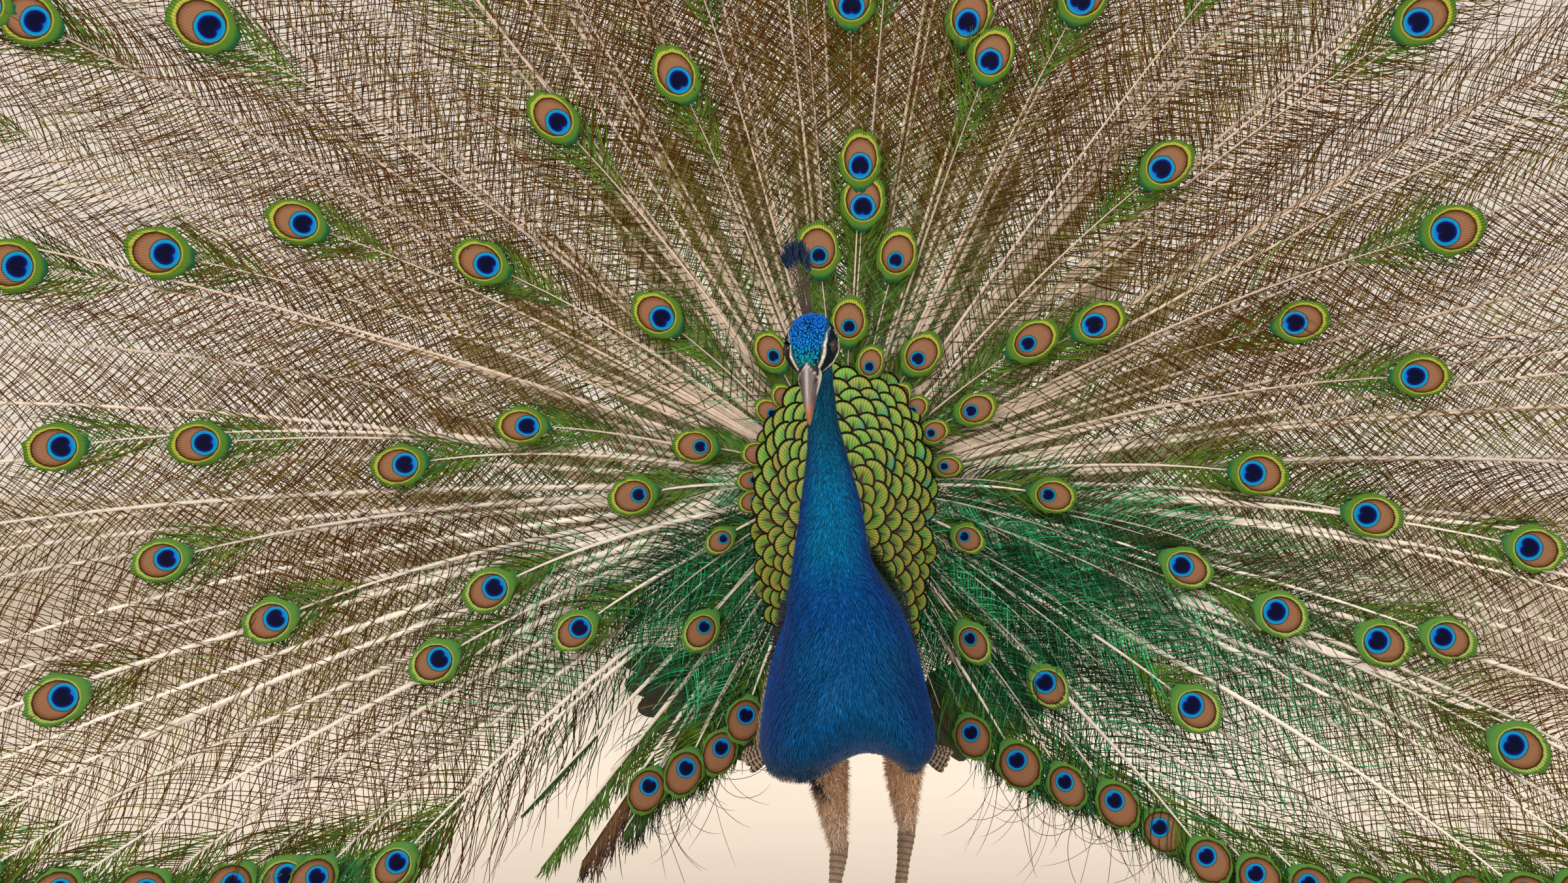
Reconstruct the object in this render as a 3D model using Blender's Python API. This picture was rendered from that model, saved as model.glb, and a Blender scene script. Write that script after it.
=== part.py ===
"""Indian peacock (Pavo cristatus) in display: a still, life-size model, standing with its train fanned.

Metres. The bird looks along -Y, its left side is +X, and +Z is up. Every sub-part is one closed
solid, and solids that touch keep a gap of CLEARANCE. The last step stands the model on z = 0, with
the middle of its bounding box over the origin.
"""

import math

import bmesh
import bpy
from mathutils import Matrix, Vector

CLEARANCE = 0.0003
SWELL = 0.0006  # how far a solid's points move out to make its room in another

# Trunk: (y, half width, belly height, back height), from the breast to the rump.
TRUNK_SECTIONS = (
    (-0.150, 0.032, 0.252, 0.318),
    (-0.130, 0.056, 0.225, 0.350),
    (-0.100, 0.072, 0.212, 0.362),
    (-0.060, 0.080, 0.207, 0.378),
    (-0.010, 0.080, 0.210, 0.392),
    (0.040, 0.077, 0.220, 0.412),
    (0.090, 0.069, 0.240, 0.430),
    (0.140, 0.060, 0.258, 0.428),
    (0.185, 0.050, 0.280, 0.420),
    (0.220, 0.033, 0.312, 0.405),
)
TRUNK_BREAST_TIP = (0.0, -0.158, 0.282)
TRUNK_RUMP_TIP = (0.0, 0.240, 0.372)
TRUNK_WIDEST = 0.25  # share of the section's height at which the body is widest
TRUNK_SIDES = 24
TRUNK_POWERS = (1.18, 0.80)  # over 1 narrows the back, under 1 fills the flanks
BREAST_NOTCH = 0.015  # how far the middle of the breast's lower edge is drawn up
BREAST_NOTCH_X = 0.014
BREAST_NOTCH_WIDTH = 0.030
BREAST_NOTCH_BACK = 0.060  # y where the notch has run out under the belly
BREAST_NOTCH_FADE = 0.080  # length over which it runs out
BREAST_NOTCH_RISE = 0.35  # share of the body's height that it draws up

# Neck: (x, y, z, half width, half depth), from inside the head down into the breast.
NECK_SECTIONS = (
    (-0.034, -0.072, 0.606, 0.0165, 0.0150),
    (-0.033, -0.056, 0.608, 0.0180, 0.0170),
    (-0.029, -0.038, 0.594, 0.0175, 0.0175),
    (-0.025, -0.030, 0.566, 0.0160, 0.0170),
    (-0.022, -0.029, 0.536, 0.0168, 0.0185),
    (-0.0185, -0.033, 0.505, 0.0218, 0.0225),
    (-0.015, -0.043, 0.461, 0.0305, 0.0285),
    (-0.015, -0.056, 0.408, 0.0385, 0.0380),
    (-0.006, -0.070, 0.362, 0.0530, 0.0520),
    (-0.002, -0.080, 0.326, 0.0620, 0.0630),
    (0.000, -0.080, 0.290, 0.0600, 0.0560),
)
NECK_DIVISION = 7  # index of the section where the upper and lower neck meet
NECK_SIDES = 24

# Head, in its own frame: x towards the bill, y to the bird's left, z to the crown.
HEAD_CENTRE = (-0.0335, -0.088, 0.602)
HEAD_PITCH = math.radians(57)  # how far the bill points down
HEAD_YAW = math.radians(-6)  # how far it turns to the bird's right
# (x, half width, crown, throat)
HEAD_SECTIONS = (
    (-0.0345, 0.0110, 0.0130, -0.0095),
    (-0.0275, 0.0185, 0.0195, -0.0170),
    (-0.0140, 0.0240, 0.0230, -0.0205),
    (0.0000, 0.0245, 0.0220, -0.0200),
    (0.0120, 0.0205, 0.0185, -0.0170),
    (0.0210, 0.0150, 0.0140, -0.0130),
    (0.0270, 0.0110, 0.0100, -0.0095),
)
HEAD_BACK = (-0.0375, 0.0, 0.002)
HEAD_WIDEST = 0.40
HEAD_SIDES = 20
EYE_CENTRE = (0.0, 0.0185, 0.004)
EYE_RADIUS = 0.0058

# Bill, in the head's frame: (x, half width, culmen, cutting edge) and (x, half width, edge, keel).
BILL_UPPER_SECTIONS = (
    (0.0220, 0.0100, 0.0112, -0.0035),
    (0.0320, 0.0098, 0.0090, -0.0042),
    (0.0420, 0.0084, 0.0068, -0.0048),
    (0.0540, 0.0067, 0.0038, -0.0060),
    (0.0650, 0.0050, -0.0006, -0.0080),
    (0.0720, 0.0034, -0.0046, -0.0104),
)
BILL_UPPER_TIP = (0.0765, 0.0, -0.0120)
BILL_LOWER_SECTIONS = (
    (0.0220, 0.0092, -0.0038, -0.0100),
    (0.0320, 0.0088, -0.0045, -0.0108),
    (0.0440, 0.0074, -0.0052, -0.0110),
    (0.0560, 0.0055, -0.0067, -0.0115),
    (0.0650, 0.0036, -0.0086, -0.0120),
)
BILL_LOWER_TIP = (0.0700, 0.0, -0.0112)
BILL_UPPER_WIDEST = 0.08
BILL_LOWER_WIDEST = 0.92
BILL_SIDES = 14

# Crest: (x, y, z, half spread, half thickness), from the crown to the tips.
CREST_SECTIONS = (
    (-0.0335, -0.0775, 0.622, 0.0030, 0.0018),
    (-0.0365, -0.0765, 0.650, 0.0100, 0.0022),
    (-0.0415, -0.0755, 0.672, 0.0190, 0.0034),
    (-0.0455, -0.0750, 0.688, 0.0235, 0.0042),
    (-0.0475, -0.0745, 0.696, 0.0170, 0.0034),
)
CREST_TIP = (-0.0480, -0.0740, 0.699)
CREST_SPREAD = (0.48, 0.88, 0.0)  # direction in which the shafts fan out
CREST_SIDES = 12

# The fan of the train: a shallow dish round its centre, whose rim arches forward.
FAN_CENTRE = (0.0, 0.170, 0.475)
FAN_LEAN = 0.16
FAN_ARCH = 0.22
TRAIN_RADIUS = 1.180
TRAIN_ROOT = 0.060
TRAIN_LOW_ROOT = 0.100
TRAIN_THICKNESS = 0.0012
TRAIN_LOW_ANGLES = (-71.0, -45.0, -22.0)
TRAIN_SECTORS_ABOVE = 6  # on each side, between the last low angle and the top
TRAIN_TIPS = 4  # feather tips on the rim of one sector
TRAIN_ROWS = (0.0, 0.09, 0.27, 0.50, 0.75, 1.0)  # shares of the way from root to tip
TIP_DEPTH = 0.030
SECTOR_GAP = 1.2  # gap between two sectors, as a multiple of CLEARANCE
RIM_HEIGHT = 0.050  # lowest height of the rim above the floor
FRINGE_START = (0.094, -0.271)  # where the lower edge leaves the body, from the fan's centre
FRINGE_SLOPE = math.radians(-21.3)

# The shield of raised back scales, in front of the fan's centre.
SHIELD_CENTRE_Z = 0.448
SHIELD_HALF_WIDTH = 0.0935
SHIELD_HALF_HEIGHT = 0.156
SHIELD_POWER = 0.86  # under 1 squares the oval's shoulders
SHIELD_DOME = 0.058
SHIELD_RIM = 0.006
SHIELD_SEAT = 0.0016  # from the middle of the train's sheet to the shield's back
SHIELD_RINGS = (0.30, 0.55, 0.78, 0.93, 1.0)  # shares of the way out to the rim
SHIELD_BACK_RINGS = (1.0, 0.5)
SHIELD_FALL = 0.7  # under 1 keeps the dome high towards its rim
SHIELD_SIDES = 32

# The tail proper: stiff feathers that prop the train from behind.
TAIL_CENTRE = (0.0, 0.222, 0.405)
TAIL_RADIUS = 0.460
TAIL_ROOT = 0.020
TAIL_LEAN = 0.05
TAIL_THICKNESS = 0.0030
TAIL_FEATHERS = 20
TAIL_ANGLES = (-4.0, 184.0)
TAIL_TIP = 0.012
FAN_ROWS = 4  # of points along each feather of the tail and of the primaries

# Wings, held half open and low: the upper and lower edge of the left wing, from shoulder to wrist.
WING_UPPER_EDGE = ((0.05, -0.030, 0.312), (0.060, 0.050, 0.318), (0.066, 0.130, 0.320), (0.072, 0.206, 0.300))
WING_LOWER_EDGE = ((0.064, -0.02, 0.262), (0.082, 0.045, 0.214), (0.090, 0.120, 0.196), (0.092, 0.206, 0.192))
WING_BULGE = 0.004
WING_THICKNESS = 0.008
WING_ROWS = 8
WING_COLUMNS = 6
WING_EDGE = 0.35  # share of the thickness that the edges keep
WING_THICK_FROM = 0.12
WING_THICK_SPAN = 0.80
PRIMARY_ROOT = (0.080, 0.207, 0.285)
PRIMARY_REACH = (0.150, 0.080)  # of the outermost and the innermost feather
PRIMARY_ANGLES = (6.0, -84.0)
PRIMARY_FEATHERS = 9
PRIMARY_LEAN = 0.90
PRIMARY_THICKNESS = 0.0025
PRIMARY_STEM = 0.004
PRIMARY_TIP = 0.010

# Legs of each side: thigh top, thigh middle, hock, ankle, and the way the foot points in degrees.
LEG_RIGHT = ((-0.024, -0.006, 0.262), (-0.016, 0.014, 0.205), (-0.006, 0.055, 0.134), (-0.022, 0.018, 0.016))
LEG_LEFT = ((0.046, 0.034, 0.262), (0.055, 0.064, 0.212), (0.060, 0.120, 0.146), (0.044, 0.084, 0.016))
HEADING_RIGHT = -6.0
HEADING_LEFT = 8.0
THIGH_RADII = (0.0245, 0.0185, 0.0125)
THIGH_LAST = 0.62  # share of the way from the thigh's middle to the hock where the last radius sits
THIGH_STOP = 0.004  # how far above the hock the thigh ends
THIGH_SIDES = 14
HOCK_RADIUS = 0.0090
SHANK_RADIUS = 0.0062
SHANK_PROFILE = ((0.0, 1.42), (0.09, 1.28), (0.22, 0.98), (0.55, 0.92), (0.85, 1.0), (1.0, 1.18))
SHANK_SIDES = 10
SPUR_HEIGHT = 0.32  # share of the shank, from the ankle
SPUR_LENGTH = 0.018
SPUR_RADII = (0.0036, 0.0026)
SPUR_BEND = 0.55  # share of the spur's length where the second radius sits
SPUR_WAY = (0.45, 0.88, 0.12)  # inwards, backwards and up
SOLE_RADIUS = 0.0105
SOLE_HEIGHT = 0.007
SOLE_FLATTENING = 0.8
# Toes: (name, direction from straight ahead in degrees, length, radius at the root)
TOES = (
    ("middle", 0.0, 0.066, 0.0054),
    ("inner", 30.0, 0.050, 0.0050),
    ("outer", -32.0, 0.054, 0.0050),
    ("hind", 176.0, 0.026, 0.0042),
)
TOE_PROFILE = ((0.0, 1.0), (0.34, 0.90), (0.62, 0.95), (0.86, 0.76), (1.0, 0.62))
TOE_RISE = 0.86  # height of a toe's axis over the floor, as a share of its radius
TOE_SIDES = 8
CLAW_LENGTH = 0.013
CLAW_PROFILE = ((0.02, 0.86, 0.0), (0.40, 0.62, 0.0002), (0.75, 0.36, 0.0012))  # share, width, drop
CLAW_TIP_HEIGHT = 0.0006

BLUE = (0.010, 0.070, 0.420)
SCALE_GREEN = (0.230, 0.300, 0.040)
TRAIN_BRONZE = (0.110, 0.120, 0.030)
TRAIN_GREEN = (0.030, 0.150, 0.050)
WING_BROWN = (0.280, 0.200, 0.120)
RUFOUS = (0.330, 0.120, 0.040)
TAIL_BROWN = (0.120, 0.085, 0.055)
THIGH_BUFF = (0.420, 0.290, 0.180)
LEG_GREY = (0.230, 0.190, 0.160)
HORN = (0.250, 0.220, 0.200)
CLAW_DARK = (0.060, 0.050, 0.045)
EYE_BROWN = (0.030, 0.015, 0.008)


def clear_scene():
    for obj in list(bpy.data.objects):
        bpy.data.objects.remove(obj, do_unlink=True)


def make_collections():
    parts = bpy.data.collections.new("peacock")
    cutters = bpy.data.collections.new("cutters")
    cutters.hide_render = True
    for collection in (parts, cutters):
        bpy.context.scene.collection.children.link(collection)
    return parts, cutters


def painted(obj, colour, roughness=0.6, metallic=0.0):
    """Gives a solid its own material."""
    material = bpy.data.materials.new(obj.name)
    material.use_nodes = True
    shader = material.node_tree.nodes["Principled BSDF"]
    shader.inputs["Base Color"].default_value = (*colour, 1.0)
    shader.inputs["Roughness"].default_value = roughness
    shader.inputs["Metallic"].default_value = metallic
    obj.data.materials.append(material)
    return obj


def object_from(name, bm, collection):
    """A named object from a closed bmesh, in triangles, so that its grown copy folds as it does."""
    bmesh.ops.remove_doubles(bm, verts=bm.verts, dist=1e-6)
    bmesh.ops.recalc_face_normals(bm, faces=bm.faces)
    bmesh.ops.triangulate(bm, faces=bm.faces)
    mesh = bpy.data.meshes.new(name)
    bm.to_mesh(mesh)
    bm.free()
    mesh.shade_smooth()
    obj = bpy.data.objects.new(name, mesh)
    collection.objects.link(obj)
    return obj


def loft(name, rings, collection, start=None, end=None):
    """A closed solid through rings of equal count. An end comes to a point where one is given."""
    bm = bmesh.new()
    loops = [[bm.verts.new(point) for point in ring] for ring in rings]
    for low, high in zip(loops, loops[1:]):
        for i in range(len(low)):
            j = (i + 1) % len(low)
            bm.faces.new((low[i], low[j], high[j], high[i]))
    for loop, tip in ((loops[0], start), (loops[-1], end)):
        if tip is None:
            bm.faces.new(loop)
            continue
        apex = bm.verts.new(tip)
        for i in range(len(loop)):
            bm.faces.new((loop[i], loop[(i + 1) % len(loop)], apex))
    return object_from(name, bm, collection)


def slab(name, front, back, collection):
    """A closed solid between two grids of points of the same shape."""
    bm = bmesh.new()
    rows = len(front)
    columns = len(front[0])
    faces_of = []
    for grid in (front, back):
        verts = [[bm.verts.new(point) for point in row] for row in grid]
        faces_of.append(verts)
        for i in range(rows - 1):
            for j in range(columns - 1):
                bm.faces.new((verts[i][j], verts[i][j + 1], verts[i + 1][j + 1], verts[i + 1][j]))
    rim = [(0, j) for j in range(columns)]
    rim += [(i, columns - 1) for i in range(1, rows)]
    rim += [(rows - 1, j) for j in range(columns - 2, -1, -1)]
    rim += [(i, 0) for i in range(rows - 2, 0, -1)]
    for (i, j), (k, m) in zip(rim, rim[1:] + rim[:1]):
        bm.faces.new((faces_of[0][i][j], faces_of[0][k][m], faces_of[1][k][m], faces_of[1][i][j]))
    return object_from(name, bm, collection)


def squared(value, power):
    return math.copysign(abs(value) ** power, value)


def egg_ring(half_width, top, bottom, widest, sides, upper_power=1.0, lower_power=1.0):
    """Points (across, up) of an egg-shaped section that is widest at a share of its height."""
    level = bottom + widest * (top - bottom)
    ring = []
    for k in range(sides):
        angle = 2 * math.pi * (k + 0.5) / sides
        rise = math.sin(angle)
        power = upper_power if rise > 0 else lower_power
        reach = (top - level) if rise > 0 else (level - bottom)
        across = half_width * squared(math.cos(angle), power)
        ring.append((across, level + reach * squared(rise, power)))
    return ring


def sweep_rings(path, side_hint, sides):
    """Rings square to a path of (x, y, z, half width, half depth), wide along the side hint."""
    centres = [Vector(section[:3]) for section in path]
    rings = []
    for i, centre in enumerate(centres):
        along = centres[min(i + 1, len(path) - 1)] - centres[max(i - 1, 0)]
        along.normalize()
        side = (side_hint - side_hint.dot(along) * along).normalized()
        deep = along.cross(side)
        half_width, half_depth = path[i][3:5]
        ring = []
        for k in range(sides):
            angle = 2 * math.pi * (k + 0.5) / sides
            offset = side * (half_width * math.cos(angle)) + deep * (half_depth * math.sin(angle))
            ring.append(centre + offset)
        rings.append(ring)
    return rings


def cut_clear(obj, others, cutters):
    """Cuts from a solid the room of others, each grown by SWELL, so that they meet without overlap."""
    for other in others:
        name = f"room_of_{other.name}"
        grown = bpy.data.objects.get(name)
        if grown is None:
            mesh = other.data.copy()
            grown = bpy.data.objects.new(name, mesh)
            cutters.objects.link(grown)
            grown.display_type = "WIRE"
            grown.hide_render = True
            for modifier in other.modifiers:
                inherited = grown.modifiers.new(modifier.name, "BOOLEAN")
                inherited.operation = modifier.operation
                inherited.object = modifier.object
            swell = grown.modifiers.new("swell", "DISPLACE")
            swell.strength = SWELL
            swell.mid_level = 0.0
        cut = obj.modifiers.new(f"clear_{other.name}", "BOOLEAN")
        cut.operation = "DIFFERENCE"
        cut.object = grown


def make_trunk(parts):
    rings = []
    for y, half_width, belly, back in TRUNK_SECTIONS:
        ring = []
        ahead = min(1.0, max(0.0, (BREAST_NOTCH_BACK - y) / BREAST_NOTCH_FADE))
        for x, z in egg_ring(half_width, back, belly, TRUNK_WIDEST, TRUNK_SIDES, *TRUNK_POWERS):
            low = max(0.0, 1.0 - (z - belly) / (BREAST_NOTCH_RISE * (back - belly)))
            draw_up = BREAST_NOTCH * math.exp(-(((x - BREAST_NOTCH_X) / BREAST_NOTCH_WIDTH) ** 2))
            ring.append(Vector((x, y, z + draw_up * low * ahead)))
        rings.append(ring)
    trunk = loft("trunk", rings, parts, start=TRUNK_BREAST_TIP, end=TRUNK_RUMP_TIP)
    return painted(trunk, BLUE, 0.5)


def make_head_frame():
    """The matrix from the head's own frame to the world."""
    ahead = Vector((0.0, -math.cos(HEAD_PITCH), -math.sin(HEAD_PITCH)))
    left = Vector((1.0, 0.0, 0.0))
    crown = ahead.cross(left)
    turn = Matrix((ahead, left, crown)).transposed().to_4x4()
    return Matrix.Translation(HEAD_CENTRE) @ Matrix.Rotation(HEAD_YAW, 4, "Z") @ turn


def head_loft(name, sections, widest, sides, frame, collection, start=None, end=None):
    """A solid through sections of the head's frame, given as (x, half width, top, bottom)."""
    rings = []
    for x, half_width, top, bottom in sections:
        ring = egg_ring(half_width, top, bottom, widest, sides)
        rings.append([frame @ Vector((x, y, z)) for y, z in ring])
    first = frame @ Vector(start) if start else None
    last = frame @ Vector(end) if end else None
    return loft(name, rings, collection, start=first, end=last)


def make_head(parts, cutters):
    frame = make_head_frame()
    head = head_loft("head", HEAD_SECTIONS, HEAD_WIDEST, HEAD_SIDES, frame, parts, start=HEAD_BACK)
    painted(head, BLUE, 0.4)
    eyes = []
    for side, sign in (("left", 1), ("right", -1)):
        bm = bmesh.new()
        x, y, z = EYE_CENTRE
        place = frame @ Matrix.Translation((x, sign * y, z))
        bmesh.ops.create_icosphere(bm, subdivisions=2, radius=EYE_RADIUS, matrix=place)
        eye = object_from(f"eye_{side}", bm, parts)
        eyes.append(painted(eye, EYE_BROWN, 0.05))
    cut_clear(head, eyes, cutters)
    for name, sections, widest, tip in (
        ("bill_upper", BILL_UPPER_SECTIONS, BILL_UPPER_WIDEST, BILL_UPPER_TIP),
        ("bill_lower", BILL_LOWER_SECTIONS, BILL_LOWER_WIDEST, BILL_LOWER_TIP),
    ):
        bill = head_loft(name, sections, widest, BILL_SIDES, frame, parts, end=tip)
        painted(bill, HORN, 0.35)
        cut_clear(bill, [head], cutters)
    rings = sweep_rings(CREST_SECTIONS, Vector(CREST_SPREAD), CREST_SIDES)
    crest = loft("crest", rings, parts, end=CREST_TIP)
    painted(crest, BLUE, 0.5)
    cut_clear(crest, [head], cutters)
    return head


def make_neck(parts, cutters, head, trunk):
    rings = sweep_rings(NECK_SECTIONS, Vector((1.0, 0.0, 0.0)), NECK_SIDES)
    division = rings[NECK_DIVISION]
    above = Vector(NECK_SECTIONS[NECK_DIVISION - 1][:3])
    below = Vector(NECK_SECTIONS[NECK_DIVISION + 1][:3])
    upwards = (above - below).normalized() * CLEARANCE
    raised = [point + upwards for point in division]
    upper = loft("neck_upper", rings[:NECK_DIVISION] + [raised], parts)
    lower = loft("neck_lower", rings[NECK_DIVISION:], parts)
    for neck in (upper, lower):
        painted(neck, BLUE, 0.5)
    cut_clear(upper, [head], cutters)
    cut_clear(lower, [trunk], cutters)


def fan_depth(radius):
    """How far back the train's sheet lies at a distance from the fan's centre."""
    return FAN_CENTRE[1] + FAN_LEAN * radius - FAN_ARCH * radius * radius


def fan_point(radius, degrees, behind=0.0, aside=0.0):
    angle = math.radians(degrees)
    x = FAN_CENTRE[0] + radius * math.cos(angle) - aside * math.sin(angle)
    z = FAN_CENTRE[2] + radius * math.sin(angle) + aside * math.cos(angle)
    return Vector((x, fan_depth(radius) + behind, z))


def train_reach(degrees):
    """The radius of the train's edge: the round rim, the floor, or the lower fringe by the body."""
    angle = math.radians(degrees if degrees <= 90 else 180 - degrees)
    reach = TRAIN_RADIUS
    if angle < 0:
        reach = min(reach, (FAN_CENTRE[2] - RIM_HEIGHT) / math.sin(-angle))
        along = (math.cos(FRINGE_SLOPE), math.sin(FRINGE_SLOPE))
        ray = (math.cos(angle), math.sin(angle))
        crossing = ray[0] * along[1] - ray[1] * along[0]
        if crossing > 0:
            reach = min(reach, (FRINGE_START[0] * along[1] - FRINGE_START[1] * along[0]) / crossing)
    return reach


def make_sector(name, first, last, root, parts):
    """One sector of the train, scalloped by the tips of its feathers."""
    steps = 2 * TRAIN_TIPS
    sheets = ([], [])
    for share in TRAIN_ROWS:
        for sheet, behind in zip(sheets, (-TRAIN_THICKNESS / 2, TRAIN_THICKNESS / 2)):
            row = []
            for j in range(steps + 1):
                degrees = first + (last - first) * j / steps
                outer = train_reach(degrees)
                if j % 2 == 0:
                    outer *= 1.0 - TIP_DEPTH / TRAIN_RADIUS
                aside = SECTOR_GAP * CLEARANCE * (0.5 - j / steps)
                row.append(fan_point(root + (outer - root) * share, degrees, behind, aside))
            sheet.append(row)
    return slab(name, sheets[0], sheets[1], parts)


def make_train(parts, cutters, neighbours):
    step = (90.0 - TRAIN_LOW_ANGLES[-1]) / TRAIN_SECTORS_ABOVE
    limits = list(TRAIN_LOW_ANGLES)
    limits += [TRAIN_LOW_ANGLES[-1] + step * (k + 1) for k in range(TRAIN_SECTORS_ABOVE)]
    for side in ("left", "right"):
        for k, (low, high) in enumerate(zip(limits, limits[1:])):
            first, last = (low, high) if side == "left" else (180 - high, 180 - low)
            root = TRAIN_LOW_ROOT if k < len(TRAIN_LOW_ANGLES) - 1 else TRAIN_ROOT
            sector = make_sector(f"train_{side}_{k + 1}", first, last, root, parts)
            painted(sector, TRAIN_GREEN if k < 3 else TRAIN_BRONZE, 0.5)
            cut_clear(sector, neighbours[side] if k == 0 else neighbours[side][:1], cutters)


def make_shield(parts, cutters, neighbours):
    """The domed shield of scales, whose back lies on the train's sheet."""

    def shield_point(share, angle, height):
        x = SHIELD_HALF_WIDTH * share * squared(math.cos(angle), SHIELD_POWER)
        z = SHIELD_CENTRE_Z + SHIELD_HALF_HEIGHT * share * squared(math.sin(angle), SHIELD_POWER)
        radius = math.hypot(x, z - FAN_CENTRE[2])
        return Vector((x, fan_depth(radius) - SHIELD_SEAT - height, z))

    angles = [2 * math.pi * k / SHIELD_SIDES for k in range(SHIELD_SIDES)]
    rings = []
    for share in SHIELD_RINGS:
        height = SHIELD_RIM + SHIELD_DOME * (1 - share**2) ** SHIELD_FALL
        rings.append([shield_point(share, angle, height) for angle in angles])
    for share in SHIELD_BACK_RINGS:
        rings.append([shield_point(share, angle, 0.0) for angle in angles])
    apex = shield_point(0.0, 0.0, SHIELD_RIM + SHIELD_DOME)
    middle = shield_point(0.0, 0.0, 0.0)
    shield = loft("back_shield", rings, parts, start=apex, end=middle)
    painted(shield, SCALE_GREEN, 0.4, 0.3)
    cut_clear(shield, neighbours, cutters)


def scalloped_fan(name, centre, root, reach, angles, feathers, lean, thickness, tip, collection, mirror=1):
    """A thin fan of feathers that leans back as it spreads from its centre."""
    steps = 2 * feathers
    sheets = ([], [])
    for i in range(FAN_ROWS):
        share = i / (FAN_ROWS - 1)
        for sheet, behind in zip(sheets, (-thickness / 2, thickness / 2)):
            row = []
            for j in range(steps + 1):
                angle = math.radians(angles[0] + (angles[1] - angles[0]) * j / steps)
                outer = reach[0] + (reach[1] - reach[0]) * j / steps - (tip if j % 2 == 0 else 0.0)
                radius = root + (outer - root) * share
                x = mirror * (centre[0] + radius * math.cos(angle))
                y = centre[1] + lean * radius + behind
                row.append(Vector((x, y, centre[2] + radius * math.sin(angle))))
            sheet.append(row)
    return slab(name, sheets[0], sheets[1], collection)


def make_tail(parts, cutters, neighbours):
    tail = scalloped_fan(
        "tail", TAIL_CENTRE, TAIL_ROOT, (TAIL_RADIUS, TAIL_RADIUS), TAIL_ANGLES, TAIL_FEATHERS,
        TAIL_LEAN, TAIL_THICKNESS, TAIL_TIP, parts,
    )
    painted(tail, TAIL_BROWN, 0.7)
    cut_clear(tail, neighbours, cutters)


def along_edge(edge, share):
    """A point at a share of a polyline, rounded by a Catmull-Rom curve."""
    points = [Vector(point) for point in edge]
    place = share * (len(points) - 1)
    i = min(int(place), len(points) - 2)
    t = place - i
    before = points[max(i - 1, 0)]
    after = points[min(i + 2, len(points) - 1)]
    a, b = points[i], points[i + 1]
    return 0.5 * (
        2 * a + (b - before) * t + (2 * before - 5 * a + 4 * b - after) * t * t
        + (3 * a - before - 3 * b + after) * t**3
    )


def make_wing(side, sign, parts, cutters, neighbours):
    sheets = ([], [])
    for i in range(WING_ROWS + 1):
        share = i / WING_ROWS
        top = along_edge(WING_UPPER_EDGE, share)
        bottom = along_edge(WING_LOWER_EDGE, share)
        for sheet, outwards in zip(sheets, (-WING_THICKNESS / 2, WING_THICKNESS / 2)):
            row = []
            for j in range(WING_COLUMNS + 1):
                down = j / WING_COLUMNS
                point = top.lerp(bottom, down)
                body = math.sin(math.pi * (WING_THICK_FROM + WING_THICK_SPAN * down))
                thickness = outwards * (WING_EDGE + (1 - WING_EDGE) * body)
                point.x += WING_BULGE * math.sin(math.pi * down) * (1 - share / 2) + thickness
                point.x *= sign
                row.append(point)
            sheet.append(row)
    wing = slab(f"wing_{side}", sheets[0], sheets[1], parts)
    painted(wing, WING_BROWN, 0.7)
    cut_clear(wing, neighbours, cutters)
    primaries = scalloped_fan(
        f"primaries_{side}", PRIMARY_ROOT, PRIMARY_STEM, PRIMARY_REACH, PRIMARY_ANGLES, PRIMARY_FEATHERS,
        PRIMARY_LEAN, PRIMARY_THICKNESS, PRIMARY_TIP, parts, mirror=sign,
    )
    painted(primaries, RUFOUS, 0.7)
    return wing


def tapered(name, path, collection, sides=10, tip=None, sole=None, hint=Vector((1.0, 0.0, 0.0))):
    """A round limb along (point, radius) pairs. With a sole level, its under side is flattened there."""
    sections = [(*point, radius, radius) for point, radius in path]
    rings = sweep_rings(sections, hint, sides)
    if sole is not None:
        for ring in rings:
            for point in ring:
                point.z = max(point.z, sole)
    return loft(name, rings, collection, end=tip)


def make_foot(side, ankle, heading, parts, cutters):
    """Three toes ahead and one behind, joined at the ankle, each with its claw."""
    turn = Matrix.Rotation(math.radians(heading), 3, "Z")
    base = Vector((ankle[0], ankle[1], 0.0))
    bm = bmesh.new()
    bmesh.ops.create_icosphere(bm, subdivisions=2, radius=SOLE_RADIUS)
    for vert in bm.verts:
        vert.co.z = max(0.0, SOLE_HEIGHT + SOLE_FLATTENING * vert.co.z)
        vert.co += base
    foot = object_from(f"foot_{side}", bm, parts)
    painted(foot, LEG_GREY, 0.6)
    for name, spread, length, radius in TOES:
        outwards = spread if side == "left" else -spread
        along = turn @ Matrix.Rotation(math.radians(outwards), 3, "Z") @ Vector((0.0, -1.0, 0.0))
        across = along.cross(Vector((0.0, 0.0, 1.0)))
        path = []
        for share, width in TOE_PROFILE:
            size = radius * width
            path.append((base + along * (length * share) + Vector((0, 0, size * TOE_RISE)), size))
        toe = tapered(f"toe_{name}_{side}", path, cutters, sides=TOE_SIDES, sole=0.0, hint=across)
        toe.hide_render = True
        toe.display_type = "WIRE"
        joined = foot.modifiers.new(f"join_{name}", "BOOLEAN")
        joined.operation = "UNION"
        joined.object = toe
        end, size = path[-1]
        claw_path = []
        for share, width, drop in CLAW_PROFILE:
            place = end + along * (CLAW_LENGTH * share + CLEARANCE)
            place.z = max(end.z - drop, 0.0)
            claw_path.append((place, size * width))
        tip = end + along * CLAW_LENGTH
        tip.z = CLAW_TIP_HEIGHT
        claw = tapered(
            f"claw_{name}_{side}", claw_path, parts, sides=TOE_SIDES, tip=tip, sole=0.0, hint=across
        )
        painted(claw, CLAW_DARK, 0.4)
    return foot


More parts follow.
